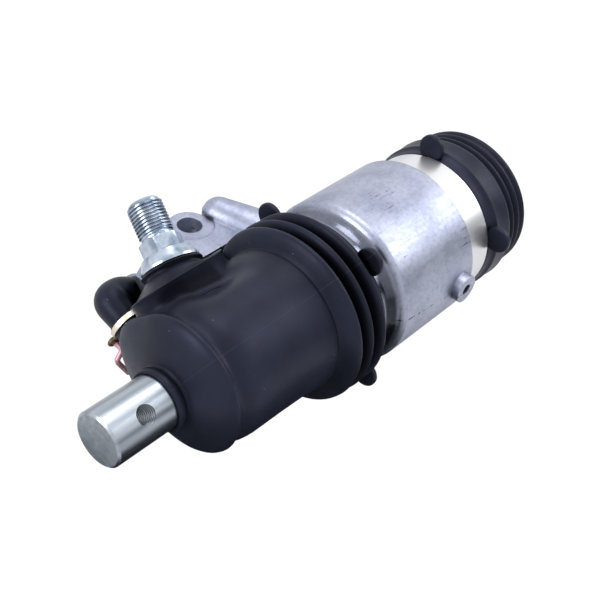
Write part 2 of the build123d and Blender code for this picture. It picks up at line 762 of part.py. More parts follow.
# Rear boot: bead in the cover groove, band, ridges and a closed end
with BuildPart() as rear_boot:
    outline = [
        (cover_groove_x0 + seal_gap, cover_groove_r + fit_gap),
        (cover_groove_x0 + seal_gap, cover_r + 0.3),
        (cover_groove_x0 + 0.8, cover_r + 0.9),
        (cover_groove_x0 + 6.3, rear_rim_r),
    ]
    for ridge_x, ridge_r in rear_ridges:
        outline.append((ridge_x - 0.9, ridge_r - 0.3))
        outline.append((ridge_x, ridge_r))
        outline.append((ridge_x + 0.9, ridge_r - 0.3))
        outline.append((ridge_x + 2.6, ridge_r - rear_ridge_deep))
    outline.append((rear_end_x - 3.2, rear_end_r - 0.4))
    outline.append((rear_end_x - 2.0, rear_end_r))
    outline.append((rear_end_x - 0.8, rear_end_r - 0.4))
    outline.append((rear_end_x, rear_end_r - 1.8))
    outline.append((rear_end_x, 0))
    outline.append((rear_end_x - boot_wall, 0))
    outline.append((rear_end_x - boot_wall, rear_inner_r))
    outline.append((rear_ridges[0][0], rear_inner_r + 2.0))
    outline.append((cover_groove_x1 + 3.5, cover_lip_r + 0.2))
    outline.append((cover_groove_x1 - seal_gap, cover_lip_r + 0.2))
    outline.append((cover_groove_x1 - seal_gap, cover_groove_r + fit_gap))
    turned(outline)
    lobes(cover_groove_x0 + 0.2, cover_groove_x0 + 3.4, rear_ears, ear_r, rear_ear_ring_r)

# Breather elbow held in the boot nozzle and in the arm's socket
with BuildPart() as breather_hose:
    hose_from = n_at - n_dir * hose_tuck
    hose_shoulder = n_at + n_dir * (nozzle_end + seal_gap)
    hose_corner = n_at + n_dir * hose_first
    hose_bend = socket_at - u_dir * hose_last
    hose_to = socket_at + u_dir * (socket_deep - 0.2)
    bar(hose_from, n_dir, tuck_r, hose_tuck + hose_first)
    for radius, mode in ((hose_r, Mode.ADD), (hose_bore_r, Mode.SUBTRACT)):
        bar(hose_shoulder, n_dir, radius, (hose_corner - hose_shoulder).length, mode)
        bar(hose_corner, hose_bend - hose_corner, radius, (hose_bend - hose_corner).length, mode)
        bar(hose_bend, u_dir, radius, (hose_to - hose_bend).length, mode)
        with Locations(hose_corner, hose_bend):
            Sphere(radius, mode=mode)
    bar(hose_from - n_dir, n_dir, hose_bore_r, hose_tuck + hose_first, Mode.SUBTRACT)

# Band clamp round the nozzle, with its pinched ear and its bent tail
with BuildPart() as hose_clamp:
    bar(n_at + n_dir * clamp_from, n_dir, clamp_out_r, clamp_long)
    ear_angle = math.radians(clamp_ear_lean)
    ear_out = x_dir * math.cos(ear_angle) + n_down * math.sin(ear_angle)
    ear_at = n_at + n_dir * (clamp_from + clamp_long / 2) + ear_out * (nozzle_r - 1.0)
    with BuildSketch(Plane(origin=ear_at, x_dir=n_dir, z_dir=ear_out)) as ear_foot:
        Rectangle(clamp_long, 2 * clamp_ear_half)
    extrude(ear_foot.sketch, amount=clamp_ear_high)
    tail = [ear_at + ear_out * (clamp_ear_high - 0.8)] + [Vector(*point) for point in clamp_tail]
    for start, end in zip(tail, tail[1:]):
        bar(start, end - start, clamp_wire_r, (end - start).length)
        with Locations(end):
            Sphere(clamp_wire_r)
    bar(n_at - n_dir * 20, n_dir, clamp_in_r, 40.0, Mode.SUBTRACT)

housing.part.label = "housing"
shift_rod.part.label = "shift_rod"
rod_plug.part.label = "rod_plug"
lever_pivot_pin.part.label = "lever_pivot_pin"
input_lever.part.label = "input_lever"
lever_stud.part.label = "lever_stud"
valve_spool.part.label = "valve_spool"
spool_orings.part.label = "spool_orings"
spool_spring.part.label = "spool_spring"
piston.part.label = "piston"
piston_seals.part.label = "piston_seals"
piston_wear_ring.part.label = "piston_wear_ring"
piston_snap_rings.part.label = "piston_snap_rings"
guide_bushes.part.label = "guide_bushes"
rod_pressure_seals.part.label = "rod_pressure_seals"
rod_wiper_seals.part.label = "rod_wiper_seals"
seal_retainers.part.label = "seal_retainers"
rear_cover.part.label = "rear_cover"
cover_oring.part.label = "cover_oring"
front_boot.part.label = "front_boot"
rear_boot.part.label = "rear_boot"
breather_hose.part.label = "breather_hose"
hose_clamp.part.label = "hose_clamp"
gallery_plug.part.label = "gallery_plug"

export_step(housing.part, "parts/housing.step")
export_step(shift_rod.part, "parts/shift_rod.step")
export_step(rod_plug.part, "parts/rod_plug.step")
export_step(lever_pivot_pin.part, "parts/lever_pivot_pin.step")
export_step(input_lever.part, "parts/input_lever.step")
export_step(lever_stud.part, "parts/lever_stud.step")
export_step(valve_spool.part, "parts/valve_spool.step")
export_step(spool_orings.part, "parts/spool_orings.step")
export_step(spool_spring.part, "parts/spool_spring.step")
export_step(piston.part, "parts/piston.step")
export_step(piston_seals.part, "parts/piston_seals.step")
export_step(piston_wear_ring.part, "parts/piston_wear_ring.step")
export_step(piston_snap_rings.part, "parts/piston_snap_rings.step")
export_step(guide_bushes.part, "parts/guide_bushes.step")
export_step(rod_pressure_seals.part, "parts/rod_pressure_seals.step")
export_step(rod_wiper_seals.part, "parts/rod_wiper_seals.step")
export_step(seal_retainers.part, "parts/seal_retainers.step")
export_step(rear_cover.part, "parts/rear_cover.step")
export_step(cover_oring.part, "parts/cover_oring.step")
export_step(front_boot.part, "parts/front_boot.step")
export_step(rear_boot.part, "parts/rear_boot.step")
export_step(breather_hose.part, "parts/breather_hose.step")
export_step(hose_clamp.part, "parts/hose_clamp.step")
export_step(gallery_plug.part, "parts/gallery_plug.step")
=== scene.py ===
import math

import bmesh
import bpy
from bpy.props import FloatProperty, FloatVectorProperty, IntProperty, PointerProperty, StringProperty
from mathutils import Matrix, Vector


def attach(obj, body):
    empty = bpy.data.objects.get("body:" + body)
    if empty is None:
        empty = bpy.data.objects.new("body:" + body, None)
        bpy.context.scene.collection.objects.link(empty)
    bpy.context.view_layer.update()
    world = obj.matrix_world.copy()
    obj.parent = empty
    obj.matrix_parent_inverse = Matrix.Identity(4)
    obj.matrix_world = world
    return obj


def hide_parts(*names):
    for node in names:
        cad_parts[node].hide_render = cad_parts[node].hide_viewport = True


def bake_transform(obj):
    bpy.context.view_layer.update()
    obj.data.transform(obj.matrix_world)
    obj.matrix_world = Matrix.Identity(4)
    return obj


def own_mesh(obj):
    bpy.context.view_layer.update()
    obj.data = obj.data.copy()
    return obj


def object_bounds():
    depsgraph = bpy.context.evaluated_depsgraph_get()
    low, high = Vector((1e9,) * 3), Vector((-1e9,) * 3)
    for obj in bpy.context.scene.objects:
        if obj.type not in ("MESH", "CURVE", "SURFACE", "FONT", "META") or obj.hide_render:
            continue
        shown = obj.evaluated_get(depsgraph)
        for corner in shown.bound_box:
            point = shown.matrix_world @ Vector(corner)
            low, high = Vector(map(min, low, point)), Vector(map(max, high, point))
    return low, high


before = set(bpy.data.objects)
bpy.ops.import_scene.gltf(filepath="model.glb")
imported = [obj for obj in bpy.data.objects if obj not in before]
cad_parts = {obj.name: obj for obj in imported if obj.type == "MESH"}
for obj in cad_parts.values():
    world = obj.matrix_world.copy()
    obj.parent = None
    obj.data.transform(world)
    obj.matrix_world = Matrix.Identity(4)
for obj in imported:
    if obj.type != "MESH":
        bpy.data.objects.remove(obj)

bl_info = {
    "name": "Gear Shift Booster",
    "version": (1, 0, 0),
    "blender": (4, 5, 0),
    "location": "View3D > Sidebar > Booster",
    "description": "Dresses the packed gear shift booster with its rubber boots, elbow, clamp and finishes",
    "category": "Object",
}

MM = 0.001
CAD_BOX = [list(corner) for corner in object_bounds()]

# Heights of the floor below the part and of the dark sheet just over it, a painted shadow of the part that
# only the reflections show, in metres
FLOOR_Z = CAD_BOX[0][2] - 0.02
SHADOW_SHEET_Z = FLOOR_Z + 0.002

# The input lever stands in the rod, in a turret that leans from z toward +y.
TURRET_LEAN = math.radians(57.3)
LEVER_TIP = math.radians(12.0)
ALONG = Vector((1, 0, 0))
TURRET_UP = Vector((0, math.sin(TURRET_LEAN), math.cos(TURRET_LEAN)))
TURRET_SIDE = Vector((0, math.cos(TURRET_LEAN), -math.sin(TURRET_LEAN)))
LEVER_UP = TURRET_UP * math.cos(LEVER_TIP) + ALONG * math.sin(LEVER_TIP)
LEVER_ACROSS = ALONG * math.cos(LEVER_TIP) - TURRET_UP * math.sin(LEVER_TIP)
PIVOT = Vector((45.3, 0, 0)) - TURRET_UP * 8.5
TURRET_X = 55.2
NOZZLE_RISE = math.radians(18.0)
NOZZLE_RUN = Vector((0, math.cos(NOZZLE_RISE), math.sin(NOZZLE_RISE)))
NOZZLE_AT = Vector((39.5, 45.4, -2.8))
SOCKET_AT = Vector((55.0, 57.9, -3.5))
SOCKET_RUN = Vector((0.86, -0.10, -0.50)).normalized()

# What the finishes look for, in metres: the tapped cross hole, the barrel and its parting line
CROSS_HOLE = Vector((0, -0.6884, 0.7254))
CROSS_HOLE_PITCH = 0.0015
TAPPED_RADIUS = 0.00428
BARREL_RADIUS = 0.0405
PARTING_AT = (0.1441, 0.0, 0.0)
PARTING_NORMAL = (-0.121, -0.0262, -0.9997)

# Radius of the fillet at the turret's foot and half the width of the stud's hexagon, in millimetres
FILLET_RADIUS = 2.6
HEXAGON_HALF = 8.5

# Angles from z toward -y round the rod axis: the nozzle's root and the foot of the turret's wall
NOZZLE_ANGLE = -88.0
WALL_FOOT_ANGLE = -26.0


def measure(name, description, default, low, high):
    """A size in millimetres that the panel shows."""
    return FloatProperty(name=name, description=description + ", mm", default=default, min=low, max=high)


class BoosterSizes(bpy.types.PropertyGroup):
    """Sizes of the rubber pieces and the stage, in millimetres where no unit is given"""

    body_radius: measure("Boot body radius", "Outside radius of the front boot's round body", 32.7, 20, 60)
    ridge_radius: measure("Ridge radius", "Outside radius of the front boot's ridges", 42.2, 30, 70)
    ridge_valley: measure("Valley radius", "Outside radius of the valleys between the ridges", 34.4, 25, 60)
    rubber_wall: measure("Rubber wall", "Wall of both boots", 2.2, 1, 5)
    turret_height: measure("Turret height", "Height of the turret's rim above the rod axis", 38.6, 34, 45)
    turret_undercut: measure("Turret undercut", "How far the turret's long walls draw in", 2.2, 0, 4)
    turret_half_width: measure("Turret half width", "Half the width of the turret", 17.5, 12, 25)
    turret_half_length: measure("Turret half length", "Half the length of the turret", 24.0, 20, 40)
    hose_radius: measure("Elbow radius", "Outside radius of the breather elbow", 7.2, 5, 10)
    nozzle_radius: measure("Nozzle radius", "Outside radius of the boot's nozzle", 8.0, 5, 12)
    thread_pitch: measure("Thread pitch", "Pitch of the stud's thread", 1.5, 1, 3)
    camera_lens: measure("Lens", "Focal length of the camera", 67.87, 20, 200)
    round_steps: IntProperty(
        name="Steps round", description="Segments round the turned pieces", default=128, min=24, max=256,
    )


def tone(name, description, default):
    """A colour that the panel shows, as an sRGB hex value."""
    return StringProperty(name=name, description=description, default=default)


class BoosterColours(bpy.types.PropertyGroup):
    """Colours of the finishes, as sRGB hex values"""

    rubber: tone("Rubber", "Moulded rubber", "#20232F")
    rubber_bloom: tone("Rubber bloom", "Pale bloom on the rubber", "#2C3041")
    casting: tone("Casting", "Die cast aluminium", "#B2B7CC")
    casting_dark: tone("Casting scratches", "Scratches and pits", "#6B6E7E")
    machined: tone("Machined", "Machined aluminium", "#CFD2DA")
    steel: tone("Ground steel", "Ground rod steel", "#A9B1BB")
    zinc: tone("Zinc", "Bright zinc plate", "#B4C0D2")
    clamp: tone("Clamp", "Pale yellow zinc plate", "#E9D6C6")
    clamp_pink: tone("Clamp tint", "Pink tint of the plate", "#E2B4C4")
    floor: tone("Floor", "Floor and backdrop", "#FFFFFF")


def around(x, angle, radius):
    """A point in millimetres at an angle from z toward -y round the main axis."""
    a = math.radians(angle)
    return Vector((x, -math.sin(a) * radius, math.cos(a) * radius))


# Each patch of scratches: its centre and reach in millimetres, the turn of its streaks and their pitch
SCRATCHES = (
    (around(145.0, 2.0, 40.2), 15.0, (0.0, 0.5, 0.9), 1.3),
    (around(134.5, 41.0, 40.2), 4.0, (0.0, 0.2, 0.2), 1.0),
    (around(178.0, 60.0, 40.0), 9.0, (0.4, 0.9, 0.1), 1.1),
)


def sizes():
    """The sizes that the scene holds."""
    return bpy.context.scene.booster_sizes


def colours():
    """The colours that the scene holds."""
    return bpy.context.scene.booster_colours


def linear(text):
    """An sRGB hex value as linear red, green, blue and alpha."""
    channels = [int(text[i:i + 2], 16) / 255 for i in (1, 3, 5)]
    return [c / 12.92 if c <= 0.04045 else ((c + 0.055) / 1.055) ** 2.4 for c in channels] + [1.0]


def shade(colour):
    """A linear colour from an sRGB hex value, or a grey from a level."""
    return linear(colour) if isinstance(colour, str) else (colour, colour, colour, 1.0)


def fill(tree, node, inputs):
    """Give a node's inputs values or links."""
    for key, value in inputs.items():
        if isinstance(value, bpy.types.NodeSocket):
            tree.links.new(value, node.inputs[key])
        else:
            node.inputs[key].default_value = value


def add(tree, kind, settings=None, inputs=None):
    """Add a node, set it, and give its inputs values or links."""
    node = tree.nodes.new(kind)
    for key, value in (settings or {}).items():
        setattr(node, key, value)
    fill(tree, node, inputs or {})
    return node


def start_material(name):
    """A material with its shader and a texture coordinate on Object coordinates."""
    material = bpy.data.materials.new(name)
    material.use_nodes = True
    tree = material.node_tree
    shader = tree.nodes["Principled BSDF"]
    place = add(tree, "ShaderNodeTexCoord").outputs["Object"]
    return material, tree, shader, place


def per_metre(millimetres):
    """Noise scale whose pattern repeats about every so many millimetres."""
    return 1000.0 / millimetres


def ramp(tree, factor, *stops):
    """A colour ramp from stops of a position with a hex colour or a grey level."""
    node = add(tree, "ShaderNodeValToRGB", inputs={"Fac": factor})
    elements = node.color_ramp.elements
    while len(elements) < len(stops):
        elements.new(0.5)
    for element, (position, colour) in zip(elements, stops):
        element.position = position
        element.color = shade(colour)
    return node.outputs["Color"]


def noise(tree, place, millimetres, detail, **inputs):
    """Noise whose pattern repeats about every so many millimetres."""
    inputs = {"Vector": place, "Scale": per_metre(millimetres), "Detail": detail, **inputs}
    return add(tree, "ShaderNodeTexNoise", inputs=inputs).outputs["Fac"]


def mix(tree, factor, first, second, blend="MIX"):
    """Two colours mixed, or the first multiplied by the second."""
    first, second = (shade(end) if isinstance(end, (str, float)) else end for end in (first, second))
    node = add(tree, "ShaderNodeMix", {"data_type": "RGBA", "blend_type": blend}, {
        "Factor": factor, "A": first, "B": second,
    })
    return node.outputs["Result"]


def spread(tree, value, low, high, to_low=0.0, to_high=1.0, kind="SMOOTHSTEP"):
    """A value taken from one range to another and held at its ends, in metres where it is a place."""
    node = add(tree, "ShaderNodeMapRange", {"interpolation_type": kind}, {
        "Value": value, "From Min": low, "From Max": high, "To Min": to_low, "To Max": to_high,
    })
    return node.outputs["Result"]


def maths(tree, operation, *values):
    """The result of a maths node on values or sockets."""
    return add(tree, "ShaderNodeMath", {"operation": operation}, dict(enumerate(values))).outputs[0]


def vectors(tree, operation, *values, **inputs):
    """The result of a vector maths node, one value for a product, distance or length."""
    node = add(tree, "ShaderNodeVectorMath", {"operation": operation}, {**dict(enumerate(values)), **inputs})
    return node.outputs["Value" if operation in ("DOT_PRODUCT", "DISTANCE", "LENGTH") else "Vector"]


def stretch(tree, place, scale, turn=(0.0, 0.0, 0.0)):
    """The place turned and drawn out, so that a pattern on it runs one way."""
    inputs = {"Vector": place, "Rotation": turn, "Scale": scale}
    return add(tree, "ShaderNodeMapping", inputs=inputs).outputs["Vector"]


def openness(tree, reach):
    """How open the surface lies to its surroundings within a reach in metres; the finishes paint shade into
    creases from it.
    """
    return add(tree, "ShaderNodeAmbientOcclusion", {"samples": 8}, {"Distance": reach}).outputs["AO"]


def rounded(tree, radius, samples):
    """The normal of edges rounded by a radius in metres."""
    return add(tree, "ShaderNodeBevel", {"samples": samples}, {"Radius": radius}).outputs["Normal"]


def bump(tree, height, strength, depth, **inputs):
    """The normal of a surface raised by a height pattern, with its depth in metres."""
    inputs = {"Height": height, "Strength": strength, "Distance": depth, **inputs}
    return add(tree, "ShaderNodeBump", inputs=inputs).outputs["Normal"]


def tinted(name, millimetres, detail, stops, roughness, metallic=0.0):
    """A material of one roughness whose colour drifts between a few tones."""
    material, tree, shader, place = start_material(name)
    base = ramp(tree, noise(tree, place, millimetres, detail), *stops)
    fill(tree, shader, {"Base Color": base, "Roughness": roughness, "Metallic": metallic})
    return material


def moulded_rubber():
    # Moulded nitrile rubber: near black with a blue cast, dull sheen, dust specks, a raised parting line,
    # and painted shade in its creases
    material, tree, shader, place = start_material("moulded_rubber")
    base = ramp(tree, noise(tree, place, 30, 4.0), (0.40, colours().rubber), (0.70, colours().rubber_bloom))
    dust = add(tree, "ShaderNodeTexVoronoi", inputs={
        "Vector": place, "Scale": per_metre(7.0), "Randomness": 1.0,
    })
    speck = ramp(tree, dust.outputs["Distance"], (0.020, 1.0), (0.032, 0.0))
    dusty = mix(tree, speck, base, "#8A8EA2")
    # The mould parts in the plane through the rod axis that stands square to the turret
    distance = maths(tree, "ABSOLUTE", vectors(tree, "DOT_PRODUCT", place, tuple(TURRET_UP)))
    line = spread(tree, distance, 0.00008, 0.00028, 1.0, 0.0)
    flashed = mix(tree, line, dusty, "#31354A")
    # Painted shade: colour and sheen darken where the surface is closed in, in creases and between parts
    crease_openness = openness(tree, 0.016)
    rubber_crease_shade = ramp(tree, crease_openness, (0.30, 0.10), (0.92, 1.0))
    raised = maths(tree, "MULTIPLY_ADD", line, 1.6, noise(tree, place, 0.9, 4.0))
    fill(tree, shader, {
        "Base Color": mix(tree, 1.0, flashed, rubber_crease_shade, "MULTIPLY"),
        "Specular IOR Level": ramp(tree, crease_openness, (0.30, 0.06), (0.92, 0.26)),
        "Specular Tint": linear("#C8CCF2"),
        "Roughness": ramp(tree, noise(tree, place, 6, 6.0), (0.3, 0.34), (0.7, 0.44)),
        "Normal": bump(tree, raised, 0.12, 0.0002),
    })
    return material


def wall_shaded_rubber():
    # The boot's own rubber with painted shade down the turret's long walls, which makes them near black and
    # dull
    material = material_for(moulded_rubber).copy()
    material.name = "wall_shaded_rubber"
    tree = material.node_tree
    shader = tree.nodes["Principled BSDF"]
    normal = add(tree, "ShaderNodeNewGeometry").outputs["Normal"]
    # Painted shade: colour and sheen darken where the surface faces across the turret
    facing = vectors(tree, "DOT_PRODUCT", normal, tuple((TURRET_SIDE + ALONG * 0.35).normalized()))
    painted_wall_shade = spread(tree, maths(tree, "ABSOLUTE", facing), 0.76, 0.93, 1.0, 0.30)
    for name in ("Base Color", "Specular IOR Level"):
        unshaded = shader.inputs[name].links[0].from_socket
        fill(tree, shader, {name: mix(tree, 1.0, unshaded, painted_wall_shade, "MULTIPLY")})
    return material


def seal_rubber():
    # Seal rubber: matt black with a fine moulded grain
    return tinted("seal_rubber", 1.2, 4.0, [(0.3, "#0E0E10"), (0.8, "#18181B")], 0.6)


def scratch_patch(tree, place, centre, size, direction, thin):
    """A mask of fine scratches that run one way inside a soft round patch, all in millimetres."""
    offset = vectors(tree, "DISTANCE", place, tuple(centre * MM))
    inside = spread(tree, offset, size * 0.35 * MM, size * MM, 1.0, 0.0)
    turned = stretch(tree, place, (0.10, 1.0, 1.0), direction)
    fine = ramp(tree, noise(tree, turned, thin, 7.0, Roughness=0.7), (0.57, 0.0), (0.63, 1.0))
    return maths(tree, "MULTIPLY", inside, fine)


def die_cast_aluminium():
    # Die cast aluminium: pale lavender grey, satin, with rounded cast edges, scuffs, scratches, dirt and
    # painted shade in its creases
    material, tree, shader, place = start_material("die_cast_aluminium")
    drift = noise(tree, place, 22, 6.0)
    base = ramp(tree, drift, (0.30, "#979DB4"), (0.52, colours().casting), (0.75, "#BFC4D8"))
    # Painted shade: the colour darkens in the casting's creases and recesses
    metal_crease_shade = ramp(tree, openness(tree, 0.009), (0.30, 0.18), (0.78, 1.0))
    mottled = ramp(tree, noise(tree, place, 1.7, 4.0), (0.32, 0.62), (0.56, 1.0))
    mottled_and_shaded = mix(tree, 1.0, mix(tree, 0.42, base, mottled, "MULTIPLY"), metal_crease_shade, "MULTIPLY")
    along = stretch(tree, place, (0.22, 1.0, 1.0), (0.0, 0.3, 0.5))
    scratch = noise(tree, along, 1.8, 8.0, Roughness=0.65)
    handled = mix(tree, ramp(tree, scratch, (0.64, 0.0), (0.74, 0.8)), mottled_and_shaded, colours().casting_dark)
    for patch in SCRATCHES:
        handled = mix(tree, scratch_patch(tree, place, *patch), handled, "#4B4F60")
    # Dirt lies in dashes along the casting's parting line, which drifts a little round the barrel
    off = vectors(tree, "DOT_PRODUCT", vectors(tree, "SUBTRACT", place, PARTING_AT), PARTING_NORMAL)
    near = spread(tree, maths(tree, "ABSOLUTE", off), 0.0001, 0.0007, 1.0, 0.0)
    dotted = ramp(tree, noise(tree, place, 2.2, 5.0), (0.50, 0.0), (0.60, 1.0))
    parted = mix(tree, maths(tree, "MULTIPLY", near, dotted), handled, "#3E4252")
    # The neck before the shoulder is turned smooth, and the hollow of the shoulder gets a painted dark
    # reflection of the black boot, stronger lower down
    where = add(tree, "ShaderNodeSeparateXYZ", inputs={"Vector": place}).outputs
    across = vectors(tree, "LENGTH", vectors(tree, "MULTIPLY", place, (0.0, 1.0, 1.0)))
    outside = maths(tree, "GREATER_THAN", across, BARREL_RADIUS)
    is_cast = maths(tree, "MAXIMUM", spread(tree, where["X"], 0.1235, 0.1265), outside)
    rough = ramp(tree, scratch, (0.3, 0.34), (0.7, 0.50))
    recess = ramp(
        tree, spread(tree, where["X"], 0.1150, 0.1280, kind="LINEAR"),
        (0.16, 0.0), (0.34, 1.0), (0.66, 1.0), (0.88, 0.0),
    )
    depth = spread(tree, where["Z"], 0.012, 0.036, 0.94, 0.55, kind="LINEAR")
    within = maths(tree, "SUBTRACT", 1.0, outside)
    painted_dark_reflection = maths(tree, "MULTIPLY", maths(tree, "MULTIPLY", recess, depth), within)
    fill(tree, shader, {
        # The colour #171A23 is the painted dark reflection in the shoulder's hollow
        "Base Color": mix(tree, painted_dark_reflection, parted, "#171A23"),
        "Metallic": 0.85,
        "Roughness": mix(tree, is_cast, 0.14, rough),
        "Normal": bump(tree, noise(tree, place, 1.6, 5.0), 0.16, 0.0003, Normal=rounded(tree, 0.0011, 6)),
    })
    return material


def machined_aluminium():
    # Turned aluminium: bright, with fine rings left by the tool that streak the reflections
    material, tree, shader, place = start_material("machined_aluminium")
    rings = noise(tree, stretch(tree, place, (1.0, 0.05, 0.05)), 0.8, 5.0)
    fill(tree, shader, {
        "Base Color": ramp(tree, rings, (0.30, "#A6A9B4"), (0.50, colours().machined), (0.75, "#DFE1E8")),
        "Metallic": 1.0,
        "Roughness": 0.22,
        "Normal": bump(tree, rings, 0.15, 0.0001),
    })
    return material


def ground_steel():
    # Ground rod steel: satin grey with faint lengthwise streaks, and thread grooves in the tapped cross hole
    material, tree, shader, place = start_material("ground_steel")
    streak = noise(tree, stretch(tree, place, (0.06, 1.0, 1.0)), 2.4, 5.0)
    base = ramp(tree, streak, (0.30, "#97A0AB"), (0.52, colours().steel), (0.78, "#BCC4CD"))
    # Inside the cross hole, within its tapping radius of its axis, the wall is grooved at the thread's
    # pitch, with painted shade in the grooves
    depth = vectors(tree, "DOT_PRODUCT", place, tuple(CROSS_HOLE))
    foot = vectors(tree, "SCALE", tuple(CROSS_HOLE), Scale=depth)
    tapped = maths(tree, "LESS_THAN", vectors(tree, "DISTANCE", place, foot), TAPPED_RADIUS)
    wave = maths(tree, "SINE", maths(tree, "MULTIPLY", depth, 2 * math.pi / CROSS_HOLE_PITCH))
    groove = maths(tree, "MULTIPLY", wave, tapped)
    # Painted shade: the colour darkens in the thread's grooves
    groove_shade = spread(tree, groove, -1.0, 0.0, 0.25, 1.0, kind="LINEAR")
    fill(tree, shader, {
        "Base Color": mix(tree, 1.0, base, groove_shade, "MULTIPLY"),
        "Metallic": 1.0,
        "Roughness": 0.30,
        "Normal": bump(tree, groove, 0.9, 0.0006, Normal=rounded(tree, 0.0003, 4)),
    })
    return material


def bright_zinc():
    # Bright zinc plate on steel: glossy, cool, slightly cloudy, with painted shade that darkens the thread's
    # roots
    material, tree, shader, place = start_material("bright_zinc")
    cloud = noise(tree, place, 6, 5.0)
    base = ramp(tree, cloud, (0.32, "#8C9DB0"), (0.50, colours().zinc), (0.78, "#DDE5F0"))
    # Painted shade in the creases and the thread's roots
    metal_crease_shade = ramp(tree, openness(tree, 0.0012), (0.30, 0.12), (0.85, 1.0))
    fill(tree, shader, {
        "Base Color": mix(tree, 1.0, base, metal_crease_shade, "MULTIPLY"),
        "Metallic": 1.0,
        "Roughness": ramp(tree, cloud, (0.3, 0.18), (0.7, 0.30)),
    })
    return material


def yellow_zinc():
    # Yellow passivated zinc: a pale cream plate with a faint gold and pink drift
    stops = [(0.38, "#DDBFA6"), (0.56, colours().clamp), (0.76, "#EEDCC0")]
    return tinted("yellow_zinc", 7, 3.0, stops, 0.38, 0.6)


def tarnished_zinc():
    # Tarnished yellow zinc: the worked ear's dull brown, darker where the plate is thin
    return tinted("tarnished_zinc", 2.5, 4.0, [(0.35, "#57493A"), (0.65, "#8B7760")], 0.42, 0.6)


def pink_zinc():
    # Pink tinted zinc: the plate's colour at the cut tail of the band
    return tinted("pink_zinc", 5, 3.0, [(0.35, "#D99DB2"), (0.65, colours().clamp_pink)], 0.38, 0.5)


def sintered_bronze():
    # Sintered bronze: dull brown gold with fine pores
    return tinted("sintered_bronze", 0.8, 4.0, [(0.35, "#6E5330"), (0.6, "#A98450")], 0.5, 1.0)


def bearing_plastic():
    # Filled acetal: off white, machined, with a slight mottle
    return tinted("bearing_plastic", 3, 3.0, [(0.3, "#D9D6C8"), (0.7, "#E8E6DC")], 0.45)


def dark_felt():
    # Dark felt: the cards that darken the metal's reflections, one of them a painted shadow under the part,
    # matt and without a sheen
    material, tree, shader, _ = start_material("dark_felt")
    fill(tree, shader, {"Base Color": linear("#262932"), "Roughness": 0.95, "Specular IOR Level": 0.1})
    return material


def finish_nodes(material, names):
    """Give CAD nodes a material in their own slots."""
    for name in names:
        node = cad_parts[name]
        if not node.material_slots:
            node.data.materials.append(material)
        for held in node.material_slots:
            held.material = material


def material_for(maker):
    """The material that a maker function makes, made once."""
    found = bpy.data.materials.get(maker.__name__)
    return found or maker()


def placed(origin, across, up, along):
    """A matrix that stands three directions at a place in millimetres."""
    return Matrix.Translation(origin * MM) @ Matrix((across, up, along)).transposed().to_4x4()


def aimed(place, target, axis):
    """A matrix at a place in metres that turns one of its axes to a target."""
    turn = (Vector(target) - Vector(place)).to_track_quat(axis, "Y")
    return Matrix.Translation(place) @ turn.to_matrix().to_4x4()


def new_object(bm, name, material):
    """An object at the origin from a finished bmesh."""
    mesh = bpy.data.meshes.new(name)
    bm.to_mesh(mesh)
    bm.free()
    mesh.materials.append(material)
    made = bpy.data.objects.new(name, mesh)
    bpy.context.scene.collection.objects.link(made)
    return made


def keep(bm, name, material, sharp=None):
    """Turn a finished bmesh into an object at the origin with its material."""
    bmesh.ops.remove_doubles(bm, verts=bm.verts, dist=1e-6)
    bmesh.ops.recalc_face_normals(bm, faces=bm.faces)
    for face in bm.faces:
        face.smooth = True
    piece = new_object(bm, name, material)
    if sharp:
        piece.data.set_sharp_from_angle(angle=math.radians(sharp))
    return piece


def spin_outline(bm, outline):
    """Turn a closed (x, radius) outline in millimetres about the main axis."""
    verts = [bm.verts.new((x * MM, r * MM, 0)) for x, r in outline]
    edges = [bm.edges.new(pair) for pair in zip(verts, verts[1:] + verts[:1])]
    bmesh.ops.spin(
        bm, geom=verts + edges, cent=(0, 0, 0), axis=(1, 0, 0), angle=2 * math.pi,
        steps=sizes().round_steps, use_merge=True,
    )


def ridge(middle, top, valley, half):
    """Outline points of one narrow ridge from valley to valley."""
    points = []
    for step in range(-5, 6):
        share = step / 5
        lift = math.cos(share * math.pi / 2) ** 1.25 if abs(share) < 1 else 0.0
        points.append((middle + half * share, valley + (top - valley) * lift))
    return points


def eased(value, low, high):
    """How far a value has gone from low to high, from 0 to 1, easing at both ends."""
    share = min(max((value - low) / (high - low), 0.0), 1.0)
    return share * share * (3 - 2 * share)


def swell(offset, half):
    """A round hill of height 1 that ends at half on either side."""
    return math.cos(offset / half * math.pi / 2) ** 2 if abs(offset) < half else 0.0


def turn_from(angle, middle):
    """The turn in degrees from a middle angle, from -180 to 180."""
    return (angle - middle + 180.0) % 360.0 - 180.0


def lobe(x, angle):
    """How far the boot swells over the nozzle's root, in millimetres."""
    turn = turn_from(angle, NOZZLE_ANGLE)
    hill = 5.2 * swell(turn, 45.0 if turn > 0 else 38.0) + 1.4 * swell(turn + 34.0, 30.0)
    return hill * eased(x, 18.5, 27.0) * (1 - eased(x, 34.0, 52.0))


def hollow(x, angle):
    """How far the boot draws in along the foot of the turret's wall, in millimetres."""
    turn = turn_from(angle, WALL_FOOT_ANGLE)
    dip = 2.4 * swell(turn, 13.0 if turn < 0 else 24.0)
    return dip * eased(x, 40.0, 54.0) * (1 - eased(x, 68.0, 82.0))


